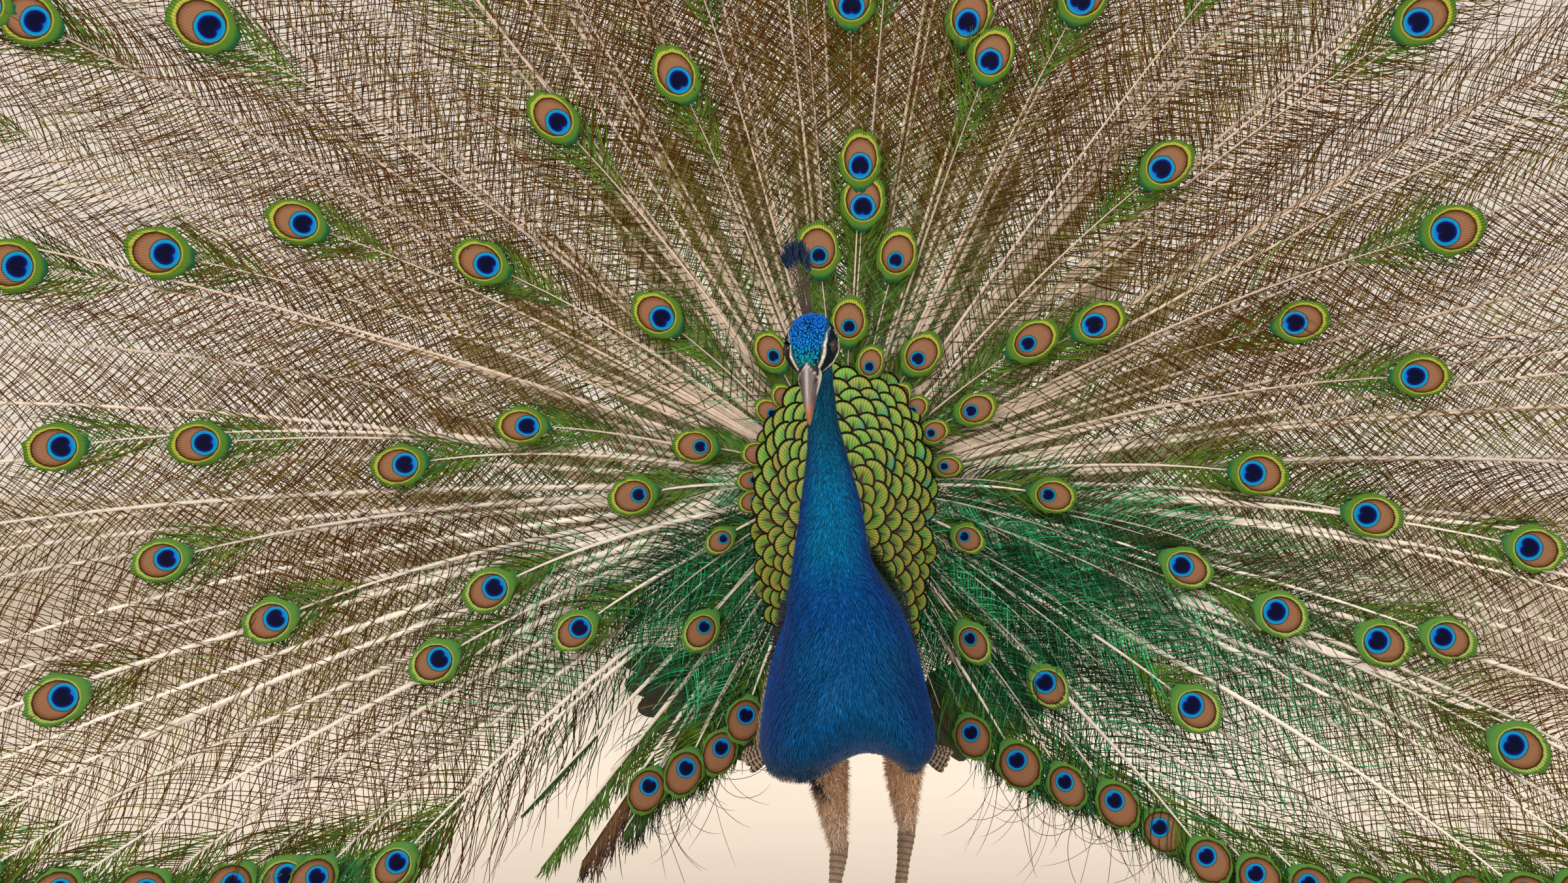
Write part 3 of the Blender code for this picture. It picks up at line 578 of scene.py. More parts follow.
def drawn_out(rings, sides):
    """A closed limb along its own +Z: a disc drawn out from ring to ring, each given as
    (x, y, z, half width, half depth)."""
    bpy.ops.object.select_all(action="DESELECT")
    bpy.ops.mesh.primitive_circle_add(vertices=sides, radius=1.0, fill_type="NGON")
    bpy.ops.object.mode_set(mode="EDIT")
    bpy.ops.transform.resize(value=(rings[0][3], rings[0][4], 1.0), center_override=(0, 0, 0))
    bpy.ops.transform.translate(value=rings[0][:3])
    for before, ring in zip(rings, rings[1:]):
        step = tuple(b - a for a, b in zip(before[:3], ring[:3]))
        growth = (ring[3] / before[3], ring[4] / before[4], 1.0)
        bpy.ops.mesh.extrude_region_move(TRANSFORM_OT_translate={"value": step})
        bpy.ops.transform.resize(value=growth, center_override=ring[:3])
    bpy.ops.mesh.select_all(action="SELECT")
    bpy.ops.mesh.normals_make_consistent(inside=False)
    bpy.ops.object.mode_set(mode="OBJECT")
    return bpy.context.object


def corner_places(obj):
    """The points of a shape in its own frame."""
    points = np.empty(len(obj.data.vertices) * 3, np.float32)
    obj.data.vertices.foreach_get("co", points)
    return points.reshape(-1, 3)


def only(obj):
    """Selects one object, deselects the rest, and makes it the active one."""
    bpy.ops.object.select_all(action="DESELECT")
    bpy.context.view_layer.objects.active = obj
    obj.select_set(True)


def frame_at(origin, along, up=(0.0, 0.0, 1.0)):
    """The frame at a place whose z runs along a direction and whose y is as near up as it can be."""
    z = Vector(along).normalized()
    x = Vector(up).cross(z).normalized()
    return Matrix.Translation(Vector(origin)) @ Matrix((x, z.cross(x), z)).transposed().to_4x4()


def set_down(obj, place):
    """Moves a shape from its own frame to its place on the bird, with the place in its mesh."""
    only(obj)
    obj.matrix_world = Matrix.Translation(Vector(SHIFT)) @ place
    bpy.ops.object.transform_apply(location=True, rotation=True, scale=True)


def joined(parts):
    bpy.ops.object.select_all(action="DESELECT")
    for part in parts:
        part.select_set(True)
    bpy.context.view_layer.objects.active = parts[0]
    bpy.ops.object.join()
    return parts[0]


def finished(obj, name, material, replaced, margin=0.004):
    """Unwraps a modelled shape, gives it its name and material, and makes it a piece of the bird."""
    bpy.ops.object.mode_set(mode="EDIT")
    bpy.ops.mesh.select_all(action="SELECT")
    bpy.ops.uv.smart_project(angle_limit=UNWRAP_ANGLE, island_margin=margin)
    bpy.ops.object.mode_set(mode="OBJECT")
    obj.name = name
    obj.data.name = name
    obj.data.uv_layers[0].name = "OFBake"
    obj.data.shade_smooth()
    obj.data.materials.append(material)
    join_bird(obj, replaced)


# ---------------------------------------------------------------- materials


class Finish:
    """A material and short ways to add nodes to it."""

    def __init__(self, name, roughness, specular=0.5):
        self.material = bpy.data.materials.new(name)
        self.material.use_nodes = True
        self.tree = self.material.node_tree
        self.shader = self.tree.nodes["Principled BSDF"]
        self.set("Roughness", roughness)
        self.set("Specular IOR Level", specular)

    def give(self, target, value):
        """Gives a socket a constant, or a link from another socket."""
        if hasattr(value, "node"):
            self.tree.links.new(value, target)
        else:
            target.default_value = value

    def set(self, socket, value):
        self.give(self.shader.inputs[socket], value)

    def node(self, kind, inputs=None, output=0, **settings):
        node = self.tree.nodes.new(kind)
        for key, value in settings.items():
            setattr(node, key, value)
        for key, value in (inputs or {}).items():
            self.give(node.inputs[key], value)
        return node.outputs[output]

    def math(self, operation, a, b=0.0):
        return self.node("ShaderNodeMath", {0: a, 1: b, 2: 0.0}, operation=operation)

    def add(self, a, b):
        return self.math("ADD", a, b)

    def less(self, a, b):
        return self.math("SUBTRACT", a, b)

    def times(self, a, b):
        return self.math("MULTIPLY", a, b)

    def mix(self, share, a, b):
        a = (*a, 1.0) if isinstance(a, tuple) else a
        b = (*b, 1.0) if isinstance(b, tuple) else b
        return self.node("ShaderNodeMix", {0: share, 6: a, 7: b}, 2, data_type="RGBA")

    def multiplied(self, a, b):
        return self.node("ShaderNodeMix", {0: 1.0, 6: a, 7: b}, 2, data_type="RGBA", blend_type="MULTIPLY")

    def scaled(self, colour, factor):
        """The colour times a factor socket."""
        grey = self.node("ShaderNodeCombineColor", {0: factor, 1: factor, 2: factor})
        return self.multiplied(colour, grey)

    def step(self, value, low, high):
        """0 below low, 1 above high, smooth between. With low over high it falls."""
        falls = low > high
        inputs = {0: value, 1: min(low, high), 2: max(low, high), 3: float(falls), 4: float(not falls)}
        return self.node("ShaderNodeMapRange", inputs, interpolation_type="SMOOTHSTEP")

    def between(self, value, low, high, at_low, at_high):
        """A value taken from one range to another."""
        return self.node("ShaderNodeMapRange", {0: value, 1: low, 2: high, 3: at_low, 4: at_high})

    def oval(self, u, v, centre, half_length, half_width):
        """The distance from the middle of an oval, as a share of the way to its edge."""
        a = self.math("DIVIDE", self.less(u, centre), half_length)
        b = self.math("DIVIDE", v, half_width)
        return self.math("SQRT", self.add(self.times(a, a), self.times(b, b)))

    def rays(self, u, v, behind, count):
        """Fine lines that spread from a point behind the middle, like barbs."""
        return self.math("SINE", self.times(self.math("ARCTAN2", v, self.add(u, behind)), count))

    def object_place(self):
        return self.node("ShaderNodeTexCoord", output=3)

    def map_place(self, name):
        return self.node("ShaderNodeUVMap", uv_map=name)

    def split(self, vector):
        """The x, y and z of a vector socket."""
        return self.node("ShaderNodeSeparateXYZ", {0: vector}).node.outputs[:]

    def tint(self):
        return self.node("ShaderNodeAttribute", attribute_name="Tint")

    def noise(self, scale, detail=2.0, place=None):
        place = place or self.object_place()
        inputs = {"Vector": place, "Scale": scale, "Detail": detail, "Roughness": 0.5}
        return self.node("ShaderNodeTexNoise", inputs)

    def bump(self, height, strength, distance):
        inputs = {"Height": height, "Strength": strength, "Distance": distance}
        self.set("Normal", self.node("ShaderNodeBump", inputs))

    def vary(self, colour, scale, low, high):
        """The colour, lightened and darkened by a fine noise."""
        return self.scaled(colour, self.between(self.noise(scale), 0.3, 0.7, low, high))


def tinted(name, scale=150.0, low=0.8, high=1.2, specular_tint=None, **settings):
    """A material coloured by the piece's own Tint, for feathers, skin and horn."""
    finish = Finish(name, **settings)
    finish.set("Base Color", finish.vary(finish.tint(), scale, low, high))
    if specular_tint:
        finish.set("Specular Tint", (*specular_tint, 1.0))
    return finish.material


def eye_spot_material(name, disc_size=1.0, sky=EYE_SKY, ovals=EYE_OVALS, ring=EYE_RING):
    """The eye of a train feather, drawn on its own map in centimetres from the blue disc's middle."""
    finish = Finish(name, roughness=0.45, specular=0.05)
    place = finish.map_place("Eye")
    u, v, _ = finish.split(place)
    frayed = finish.times(finish.less(finish.noise(2.2, 3.0, place), 0.5), 0.10)
    disc, copper, gold, leaf = (
        finish.add(finish.oval(u, v, *oval), frayed)
        for oval in ((0.0, 1.50 * disc_size, 1.40 * disc_size), *ovals)
    )
    beside = finish.less(finish.math("ABSOLUTE", v), 0.40 * disc_size)
    lobe = finish.oval(u, beside, -0.05, 0.90 * disc_size, 0.66 * disc_size)
    crown = finish.oval(u, v, 0.24 * disc_size, 0.92 * disc_size, 0.96 * disc_size)
    pupil = finish.math("MINIMUM", lobe, crown)
    rim = finish.mix(finish.step(u, -1.2, -2.6), EYE_RIM, EYE_RIM_ROOT)
    rim = finish.mix(finish.step(leaf, 0.92, 1.10), EYE_RIM_INSIDE, rim)
    rim = finish.mix(finish.step(leaf, 1.10, 1.32), rim, EYE_RIM_OUTSIDE)
    height = finish.split(finish.object_place())[2]
    low = finish.times(finish.step(height, 0.52, 0.34), 0.55)
    rim = finish.mix(low, rim, EYE_RIM_LOW)
    ring = finish.mix(low, ring, EYE_RING_LOW)
    brown = finish.mix(finish.step(copper, 0.70, 1.0), EYE_COPPER, EYE_COPPER_EDGE)
    azure = finish.mix(finish.step(disc, 0.60, 0.98), EYE_AZURE, sky)
    navy = finish.mix(finish.step(pupil, 0.55, 1.0), EYE_NAVY, EYE_NAVY_EDGE)
    colour = rim
    for value, outer, inner, paint in (
        (gold, 1.03, 0.95, ring),
        (copper, 1.10, 1.05, EYE_RING_EDGE),
        (copper, 1.00, 0.95, brown),
        (disc, 1.12, 1.03, EYE_DISC_EDGE),
        (disc, 1.03, 0.96, azure),
        (pupil, 1.06, 0.94, navy),
        (u, 4.9, 5.0, EYE_BACK),
    ):
        colour = finish.mix(finish.step(value, outer, inner), colour, paint)
    lines = finish.rays(u, v, 6.5, 210.0)
    depth = finish.between(copper, 0.9, 1.4, 0.10, 0.34)
    finish.set("Base Color", finish.scaled(colour, finish.add(finish.times(lines, depth), 1.0)))
    finish.bump(lines, 0.35, 0.0006)
    return finish.material


def scale_material():
    """A back scale: gold-green barbs, a dark edge and a copper streak, on its own map from -1 to 1."""
    finish = Finish("back_scale_colours", roughness=0.42, specular=0.25)
    place = finish.map_place("Scale")
    u, v, _ = finish.split(place)
    rim = finish.oval(u, v, 0.0, 1.0, 1.0)
    lines = finish.rays(u, v, 1.5, 70.0)
    base = finish.scaled(finish.tint(), finish.add(finish.times(lines, 0.26), 0.97))
    bright = finish.multiplied(base, finish.mix(finish.step(rim, 0.40, 0.72), SCALE_HEART, SCALE_SHEEN))
    streak = finish.add(finish.times(finish.math("ABSOLUTE", v), 5.2), finish.times(u, 1.5))
    colour = finish.mix(finish.step(streak, 1.25, 0.55), bright, SCALE_STREAK)
    frayed = finish.add(rim, finish.times(finish.noise(6.0, 2.0, place), 0.05))
    finish.set("Base Color", finish.mix(finish.step(frayed, 0.85, 0.91), colour, SCALE_EDGE))
    finish.bump(lines, 0.4, 0.0005)
    return finish.material


# ---------------------------------------------------------------- train


def fan_depth(radius):
    return FAN_Y + FAN_LEAN * radius - FAN_ARCH * radius * radius


def on_fan(x, z, behind):
    """Points over the train's sheet, from their places across it and how far behind it they lie."""
    return np.stack((x, fan_depth(np.hypot(x, z)) + behind, z + FAN_Z), axis=-1)


def fan_unwrap(x, z):
    """The place of points on the train's sheet, unrolled to direction and distance."""
    direction = (np.degrees(np.arctan2(z, x)) + 100.0) % 360.0
    return np.stack((0.01 + 0.97 * direction / 360.0, 0.01 + 0.97 * np.hypot(x, z) / 1.25), axis=-1)


class Feathers:
    """The train's feathers, as arrays: direction and distance of each eye, root, layer and bend."""

    def __init__(self, directions, reaches, loose):
        count = len(directions)
        self.direction = np.radians(np.asarray(directions, float) + loose * RNG.normal(0, 0.8, count))
        self.reach = np.asarray(reaches, float) * (1 + loose * RNG.normal(0, 0.014, count))
        self.root = np.full(count, SHAFT_ROOT)
        self.sink = np.radians(DROOP) * np.cos(self.direction) + RNG.normal(0, 0.012, count)
        self.layer = TRAIN_FRONT + TRAIN_LAYERS * self.reach / TRAIN_RADIUS + RNG.normal(0, 0.003, count)

    def place(self, index, share):
        """(x, z, behind, heading) at a share of the way along the shafts of the given feathers."""
        span = self.reach[index] - self.root[index]
        radius = self.root[index] + span * share
        angle = self.direction[index] + self.sink[index] * (1 - share**2)
        heading = angle + np.arctan(-2 * share * self.sink[index] * radius / np.maximum(span, 1e-3))
        return radius * np.cos(angle), radius * np.sin(angle), self.layer[index] * share, heading


def along_corners(corners, shares):
    """Places at shares of the length of a line through corners."""
    corners = np.asarray(corners)
    run = np.concatenate(((0,), np.cumsum(np.linalg.norm(np.diff(corners, axis=0), axis=1))))
    return np.stack([np.interp(shares * run[-1], run, corners[:, k]) for k in range(2)], axis=-1)


def turn_down(heading, turned=0.0):
    """The turn that brings a heading, already turned by so much, to straight down."""
    return (-np.pi / 2 - heading - turned + np.pi) % (2 * np.pi) - np.pi


def train_feathers():
    directions = []
    reaches = []
    for distance, angles in EYE_RINGS:
        directions += list(angles)
        reaches += [distance] * len(angles)
    for corners, count in FRINGE_ROWS:
        x, z = along_corners(corners, np.linspace(0, 1, count)).T
        directions += list(np.degrees(np.arctan2(z, x)) % 360.0)
        reaches += list(np.hypot(x, z))
    measured = len(directions)
    for distance, first, last, count in OUTER_RINGS:
        directions += list(np.linspace(first, last, count) + RNG.normal(0, 1.2, count))
        reaches += [distance] * count
    return Feathers(directions, reaches, (np.arange(len(directions)) >= measured) * 1.0)


def green_feathers():
    directions = []
    reaches = []
    for distance, first, last, count in GREEN_ROWS:
        directions += list(np.linspace(first, last, count))
        reaches += [distance] * count
    return Feathers(directions, reaches, np.full(len(reaches), 2.0))


def rim_feathers():
    distance, first, last, count = RIM_FEATHERS
    return Feathers(np.linspace(first, last, count), np.full(count, distance), np.full(count, 0.6))


def some_of(feathers, chosen):
    part = copy.copy(feathers)
    for key, values in vars(feathers).items():
        setattr(part, key, values[chosen])
    return part


def eye_size(feathers):
    distances, sizes = zip(*EYE_SIZES)
    return np.interp(feathers.reach, distances, sizes) * (0.95 + 0.07 * np.sin(feathers.direction))


def make_shafts(name, feathers, base_width, material, replaced=(), dull=0.0):
    """The feathers' shafts, which taper outwards, and are wider and white where they lie level or hang."""
    share = np.linspace(0, 1, SHAFT_STEPS + 1)[None, :]
    index = np.arange(len(feathers.reach))[:, None]
    x, z, behind, _ = feathers.place(index, share)
    path = on_fan(x, z, behind)
    along = unit(np.gradient(path, axis=1))
    side = unit(np.cross(along, np.array((0.0, 1.0, 0.0))))
    deep = np.cross(along, side)
    width = base_width * (0.55 + 0.45 * feathers.reach[:, None] / TRAIN_RADIUS) * (1 - 0.80 * share)
    white = smoothstep(0.35, -0.25, np.sin(feathers.direction))[:, None, None, None]
    width = width * (1 + 0.9 * white[..., 0, 0])
    points = tube_points(path, side, deep, width / 2, width * 0.42, SHAFT_SIDES)
    around = np.linspace(0, ROOT_PATCH, SHAFT_SIDES)
    uv = fan_unwrap(x, z)[:, :, None, :] + np.stack((around, around * 0), axis=-1)
    pale = np.array(SHAFT_CREAM) * (1 - white) + np.array(SHAFT_WHITE) * white
    pale = mixed(pale, SHAFT_GREEN, dull)
    tone = RNG.uniform(0.75, 1.1, (len(feathers.reach), 1, 1, 1))
    quads = tube_quads(len(points), SHAFT_STEPS + 1, SHAFT_SIDES)
    tint = np.broadcast_to(pale * tone, points.shape)
    piece_from(name, points, quads, material, {"OFBake": uv}, tint, replaced)


def strands_on_fan(name, place, bends, length, widths, colour, material, tilt=0.5, drift=0.004):
    """Loose strands on the train's sheet, from their roots' x, z, depth behind it and heading. Bends (n, k)
    turn each step from the heading, and colour is (n, k + 1, 3) or gives it for the strands' x and z."""
    x, z, behind, heading = place
    count, steps = bends.shape
    turn = heading[:, None] + bends
    step = length[:, None] / steps
    zeros = np.zeros((count, 1))
    px = x[:, None] + np.concatenate((zeros, np.cumsum(np.cos(turn), axis=1) * step), axis=1)
    pz = z[:, None] + np.concatenate((zeros, np.cumsum(np.sin(turn), axis=1) * step), axis=1)
    height = (pz + FAN_Z - FLOOR_GAP) / FLOOR_EASE
    eased = np.where(height > 8, height, np.log1p(np.exp(np.minimum(height, 8))))
    pz = FLOOR_GAP + FLOOR_EASE * eased - FAN_Z
    share = np.linspace(0, 1, steps + 1)
    path = on_fan(px, pz, behind[:, None] + RNG.normal(0, drift, (count, 1)) * share)
    along = unit(np.gradient(path, axis=1))
    roll = RNG.uniform(-tilt, tilt, (count, 1, 1))
    flat = unit(np.cross(along, np.array((0.0, 1.0, 0.0))))
    across = unit(flat * np.cos(roll) + np.cross(along, flat) * np.sin(roll))
    if callable(colour):
        colour = colour(px, pz)
    widths = widths * np.ones((count, 1))
    ribbons(name, path, across, widths, fan_unwrap(x, z), colour, material)


def strands_behind(feathers, strands):
    """For each strand of each feather: its feather, its rank from 0 to 1 and the side that it grows on."""
    count = len(feathers.reach)
    index = np.repeat(np.arange(count), strands)
    rank = np.tile(np.arange(strands) / strands, count)
    side = np.where(np.tile(np.arange(strands), count) % 2 == 0, 1.0, -1.0)
    return index, rank, side


def strand_steps(steps, widths):
    """Along a strand: the middle of each step, the share at each joint, and the width there."""
    middle = ((np.arange(steps) + 0.5) / steps)[None, :]
    share = np.linspace(0, 1, steps + 1)
    return middle, share, np.interp(share, STRAND_JOINTS, widths)[None, :]


def barb_colours(x, z, tone, along, greener=0.0):
    """Bronze with olive glints, moss green above the body, and emerald low down and close to it."""
    distance = np.hypot(x, z)
    elevation = np.degrees(np.arcsin(np.clip(z / np.maximum(distance, 1e-6), -1, 1)))
    reach = np.where(x > 0, 0.54, 0.36)
    low = smoothstep(20.0, -30.0, elevation) * smoothstep(reach + 0.22, reach - 0.14, distance)
    near = 0.55 * smoothstep(0.30, 0.12, distance)
    above = 0.85 * smoothstep(0.46, 0.16, distance) * smoothstep(-25.0, 10.0, elevation)
    green = np.clip(np.maximum(low, near) + 0.5 * (tone - 0.5) + greener, 0, 1)
    glint = smoothstep(0.42, 0.80, tone) * (0.35 + 0.65 * np.sin(np.pi * np.clip(along, 0, 1)))
    tone = tone[..., None]
    colour = blend(np.array(BRONZE) * (0.5 + 0.9 * tone), np.array(OLIVE) * (0.6 + 0.8 * tone), glint)
    colour = blend(colour, np.array(MOSS) * (0.4 + 1.3 * tone), above)
    return blend(colour, np.array(EMERALD) * (0.10 + 3.4 * tone**3), green)


def make_barbs(name, feathers, material, pitch=BARB_PITCH, long=BARB_LENGTH, greener=0.0):
    """Long loose barbs on both sides of the shafts, which cross those of the neighbours in a net."""
    sizes = eye_size(feathers)
    index, share, side = [], [], []
    for f, length in enumerate(feathers.reach - feathers.root):
        start = 0.0 if feathers.reach[f] < 0.5 else RNG.uniform(0.02, 0.12)
        stop = length - 0.045 * sizes[f]
        count = max(2, int((stop - start) / pitch))
        for way in (-1, 1):
            places = start + (np.arange(count) + RNG.uniform(-0.16, 0.16, count) + 0.5) * pitch
            sparse = smoothstep(0.42, 0.62, feathers.reach[f]) * smoothstep(0.46, 0.16, places / length)
            places = places[RNG.uniform(0, 1, count) > 0.68 * sparse]
            index.append(np.full(len(places), f))
            share.append(np.clip(places / length, 0, 1))
            side.append(np.full(len(places), way))
    index, share, side = (np.concatenate(part) for part in (index, share, side))
    count = len(index)
    x, z, behind, heading = feathers.place(index, share)
    span = (feathers.reach - feathers.root)[index]
    distance = feathers.root[index] + span * share
    to_eye = np.clip((1 - share) * span / 0.12, 0, 1)
    length = long * (0.34 + 0.66 * smoothstep(0.06, 0.34, distance)) * (0.62 + 0.38 * to_eye)
    length *= RNG.uniform(0.88, 1.10, count)
    steps = np.linspace(0, 1, BARB_STEPS + 1)
    middle = (steps[1:] + steps[:-1])[None, :] / 2
    own = RNG.normal(0, 1, (4, 2, len(feathers.reach)))
    each = own[:, (side > 0).astype(int), index]
    spread = np.radians(62 - 10 * share + 4.5 * each[0] + RNG.normal(0, 2.0, count))
    curl = np.radians(28 + 8 * each[1] + RNG.normal(0, 3.5, count))
    down = turn_down(heading, side * spread)
    direction = np.degrees(feathers.direction[index]) % 360
    hangs = (direction > 185) & (direction < 228) & (distance > 0.22)
    hanging = hangs & (side > 0)
    weight = np.where(hanging, 0.85, 0.07) * RNG.uniform(0.5, 1.5, count)
    length *= np.where(hanging, RNG.uniform(0.9, 1.45, count), 1.0)
    bends = (side * spread)[:, None] - (side * curl)[:, None] * middle
    bends = bends + (down * weight)[:, None] * middle**0.8
    wave = np.where(hanging, 0.28, 0.05)[:, None]
    bends = bends + wave * np.sin(6.0 * middle + 3.0 * each[2][:, None] + RNG.normal(0, 0.6, (count, 1)))
    widths = BARB_WIDTH * np.interp(steps, (0, 0.15, 0.7, 1.0), (0.8, 1.0, 0.85, 0.3))[None, :]
    tone = np.clip(0.45 + 0.15 * each[3] + RNG.normal(0, 0.17, count) + 0.3 * greener, 0, 1)
    tone = tone[:, None] * np.ones((1, BARB_STEPS + 1))

    def colour(px, pz):
        return barb_colours(px, pz, tone, np.broadcast_to(steps, px.shape), greener)

    strands_on_fan(name, (x, z, behind, heading), bends, length, widths, colour, material)


def front_axes(outward):
    """For flat feathers that point outwards: their sideways directions and the ways their fronts face."""
    sideways = unit(np.cross(outward, np.array((0.0, -1.0, 0.0))))
    front = np.cross(sideways, outward)
    return sideways, front * -np.sign(front[:, 1:2])


def eye_places(feathers):
    """Middle and outward direction of each eye, as (n, 3) arrays."""
    index = np.arange(len(feathers.reach))
    x, z, behind, heading = feathers.place(index, np.ones(len(index)))
    slope = FAN_LEAN - 2 * FAN_ARCH * feathers.reach
    outward = np.stack((np.cos(heading), slope * 0.6, np.sin(heading)), axis=-1)
    return on_fan(x, z, behind - 0.0060), unit(outward)


def make_eye_spots(name, feathers, material):
    """The eyes: cupped drops with a coloured front."""
    middle, outward = eye_places(feathers)
    sideways, front = front_axes(outward)
    p, q = (grid.ravel() for grid in disc_grid(EYE_GRID))
    count = len(middle)
    size = (eye_size(feathers) * RNG.uniform(0.95, 1.05, count))[:, None]
    u = np.where(p > 0, EYE_OUTER, EYE_INNER) * p + 0.002
    v = q * EYE_HALF_WIDTH * (1 - 0.36 * smoothstep(0.15, 1.0, -p))
    dome = EYE_DOME * (1 - p**2 - q**2)
    width = size * RNG.uniform(0.92, 1.08, (count, 1))
    ripple = RNG.normal(0, 0.0003, (count, len(p)))
    points = moved(
        middle, (outward, u * size), (sideways, v * width), (front, dome * size), (front, ripple),
    )
    edge = (np.hypot(p, q) > 0.97)[:, None]
    points = points + (points - middle[:, None, :]) * edge * RNG.normal(0, 0.035, (count, len(p), 1))
    both = np.stack((points, points - front[:, None, :] * EYE_THICKNESS), axis=1)
    quads = plate_quads(EYE_GRID, EYE_GRID, count)
    own = np.stack((u * 100, v * 100), axis=-1)
    own = np.broadcast_to(np.stack((own, own + np.array((EYE_BACK_U, 0.0)))), (count, 2, len(p), 2))
    cell, columns = cells(count)
    inner = np.stack((p, q), axis=-1) * 0.45 + 0.5
    bake = cell[:, None, None, :] + np.stack((inner, inner * 0.1))[None] / columns
    piece_from(name, both, quads, material, {"Eye": own, "OFBake": bake})


def make_eye_plumes(feathers, material):
    """Green barbs that leave the shaft behind each eye, flare past it, and hug its edge."""
    index, rank, side = strands_behind(feathers, PLUME_STRANDS)
    n = len(index)
    size = eye_size(feathers)[index]
    span = (feathers.reach - feathers.root)[index]
    behind_eye = size * (0.115 - 0.105 * rank**0.8)
    x, z, behind, heading = feathers.place(index, np.clip(1 - behind_eye / span, 0, 1))
    middle, share, widths = strand_steps(PLUME_STEPS, (0.0009, 0.0013, 0.0011, 0.0003))
    spread = np.radians(26 + 22 * rank + RNG.normal(0, 5, n))
    curl = np.radians(RNG.normal(16, 9, n) + 34 * smoothstep(0.5, 1.0, rank))
    bends = (side * spread)[:, None] - (side * curl)[:, None] * middle * 1.4
    length = size * (0.104 - 0.046 * rank) * RNG.uniform(0.72, 1.12, n)
    fade = smoothstep(0.45, 1.0, share)[None, :, None] * (0.35 + 0.65 * (1 - rank[:, None, None]))
    tint = mixed(mixed(PLUME_GRASS, PLUME_LEAF, RNG.uniform(0, 1, (n, 1, 1))), PLUME_BRONZE, fade)
    place = (x, z, behind + 0.0015, heading)
    strands_on_fan("eye_plumes", place, bends, length, widths, tint, material, 0.5, 0.0015)


def make_skirt(material):
    """The dense green edge under the lowest eyes, with frayed dark tips and long curling hairs."""
    places, kinds = [], []
    for corners, _ in FRINGE_ROWS:
        reach = np.linalg.norm(np.diff(corners, axis=0), axis=1).sum()
        for kind, (_, density, nearest, farthest, *_) in enumerate(SKIRT_PARTS):
            n = int(density * reach)
            place = along_corners(corners, RNG.uniform(0, 1, n))
            places.append(place + unit(place) * RNG.uniform(nearest, farthest, (n, 1)))
            kinds.append(np.full(n, kind))
    x, z = np.concatenate(places).T
    kinds = np.concatenate(kinds)
    radial = np.arctan2(z, x)
    down = turn_down(radial)
    behind = TRAIN_FRONT + TRAIN_LAYERS * np.hypot(x, z) / TRAIN_RADIUS + 0.003
    for kind, (name, _, _, _, steps, hang, scatter, curl, short, long, width) in enumerate(SKIRT_PARTS):
        chosen = kinds == kind
        n = int(chosen.sum())
        heading = radial[chosen] + down[chosen] * hang + np.radians(RNG.normal(0, scatter, n))
        middle, share, widths = strand_steps(steps, (0.7, 1.0, 0.8, 0.3))
        bends = RNG.normal(0, curl, (n, 1)) * middle
        tone = RNG.uniform(0.6, 1.4, (n, 1, 1))
        share = share[None, :, None]
        if kind == 0:
            uneven = share + RNG.normal(0, 0.4, (n, 1, 1))
            tint = mixed(SKIRT_LEAF, SKIRT_EMERALD, smoothstep(-0.2, 0.7, uneven))
        elif kind == 1:
            tint = mixed(SKIRT_EMERALD, SKIRT_DARK, smoothstep(0.0, 0.5, share))
        else:
            tint = np.array(SKIRT_HAIR) * np.ones_like(share)
        place = (x[chosen], z[chosen], behind[chosen], heading)
        length = RNG.uniform(short, long, n)
        strands_on_fan(name, place, bends, length, width * widths, tint * tone, material, 0.8, 0.003)


def make_fishtails(feathers, material):
    """The eyeless outermost feathers, which end in a forked green crescent."""
    index, rank, side = strands_behind(feathers, FISHTAIL_STRANDS)
    n = len(index)
    share = 1 - 0.085 * (1 - rank) / (feathers.reach - feathers.root)[index]
    x, z, behind, heading = feathers.place(index, share)
    middle, share, widths = strand_steps(STRAND_STEPS, (0.0012, 0.0019, 0.0017, 0.0006))
    bends = (side * np.radians(56 - 30 * rank + RNG.normal(0, 3, n)))[:, None] * (1 - 0.75 * middle)
    length = (0.040 + 0.014 * np.sin(np.pi * rank)) * RNG.uniform(0.85, 1.1, n)
    tone = RNG.uniform(0.7, 1.3, (n, 1, 1))
    tint = mixed(FISHTAIL_GREEN, FISHTAIL_DARK, smoothstep(0.45, 0.95, share)[None, :, None]) * tone
    place = (x, z, behind - 0.002, heading)
    strands_on_fan("fishtails", place, bends, length, widths, tint, material, 0.4, 0.001)


def make_sickles(shaft_material, material):
    """The long one-sided feathers that hang under the train."""
    directions, starts, ends, widths, inner, edge = (np.array(column) for column in zip(*SICKLES))
    feathers = Feathers(directions, ends, np.zeros(len(ends)))
    feathers.sink *= 0.3
    feathers.layer[:] = TRAIN_FRONT + 0.008
    make_shafts("sickle_shafts", feathers, 0.0060, shaft_material)
    index, rank, _ = strands_behind(feathers, SICKLE_STRANDS)
    n = len(index)
    begins = ((starts - SHAFT_ROOT) / (ends - SHAFT_ROOT))[index]
    x, z, behind, heading = feathers.place(index, begins + (1 - begins) * rank)
    full = np.sin(np.pi * np.clip(rank, 0.02, 0.98) ** 0.8) ** 0.6
    length = widths[index] * 2.2 * (0.25 + 0.75 * full) * RNG.uniform(0.55, 1.25, n)
    middle, share, strand = strand_steps(STRAND_STEPS, (0.0010, 0.0014, 0.0010, 0.0003))
    bends = np.radians(30 + RNG.normal(0, 7, n))[:, None] * (1 - 0.4 * middle)
    bends = bends + RNG.normal(0, 0.35, (n, 1)) * middle**2
    dark = smoothstep(0.45, 0.95, share)[None, :, None]
    tint = mixed(inner[index][:, None, :], edge[index][:, None, :], dark) * RNG.uniform(0.7, 1.3, (n, 1, 1))
    place = (x, z, behind + 0.0015, heading)
    strands_on_fan("sickle_vanes", place, bends, length, strand, tint, material, 0.3, 0.0015)


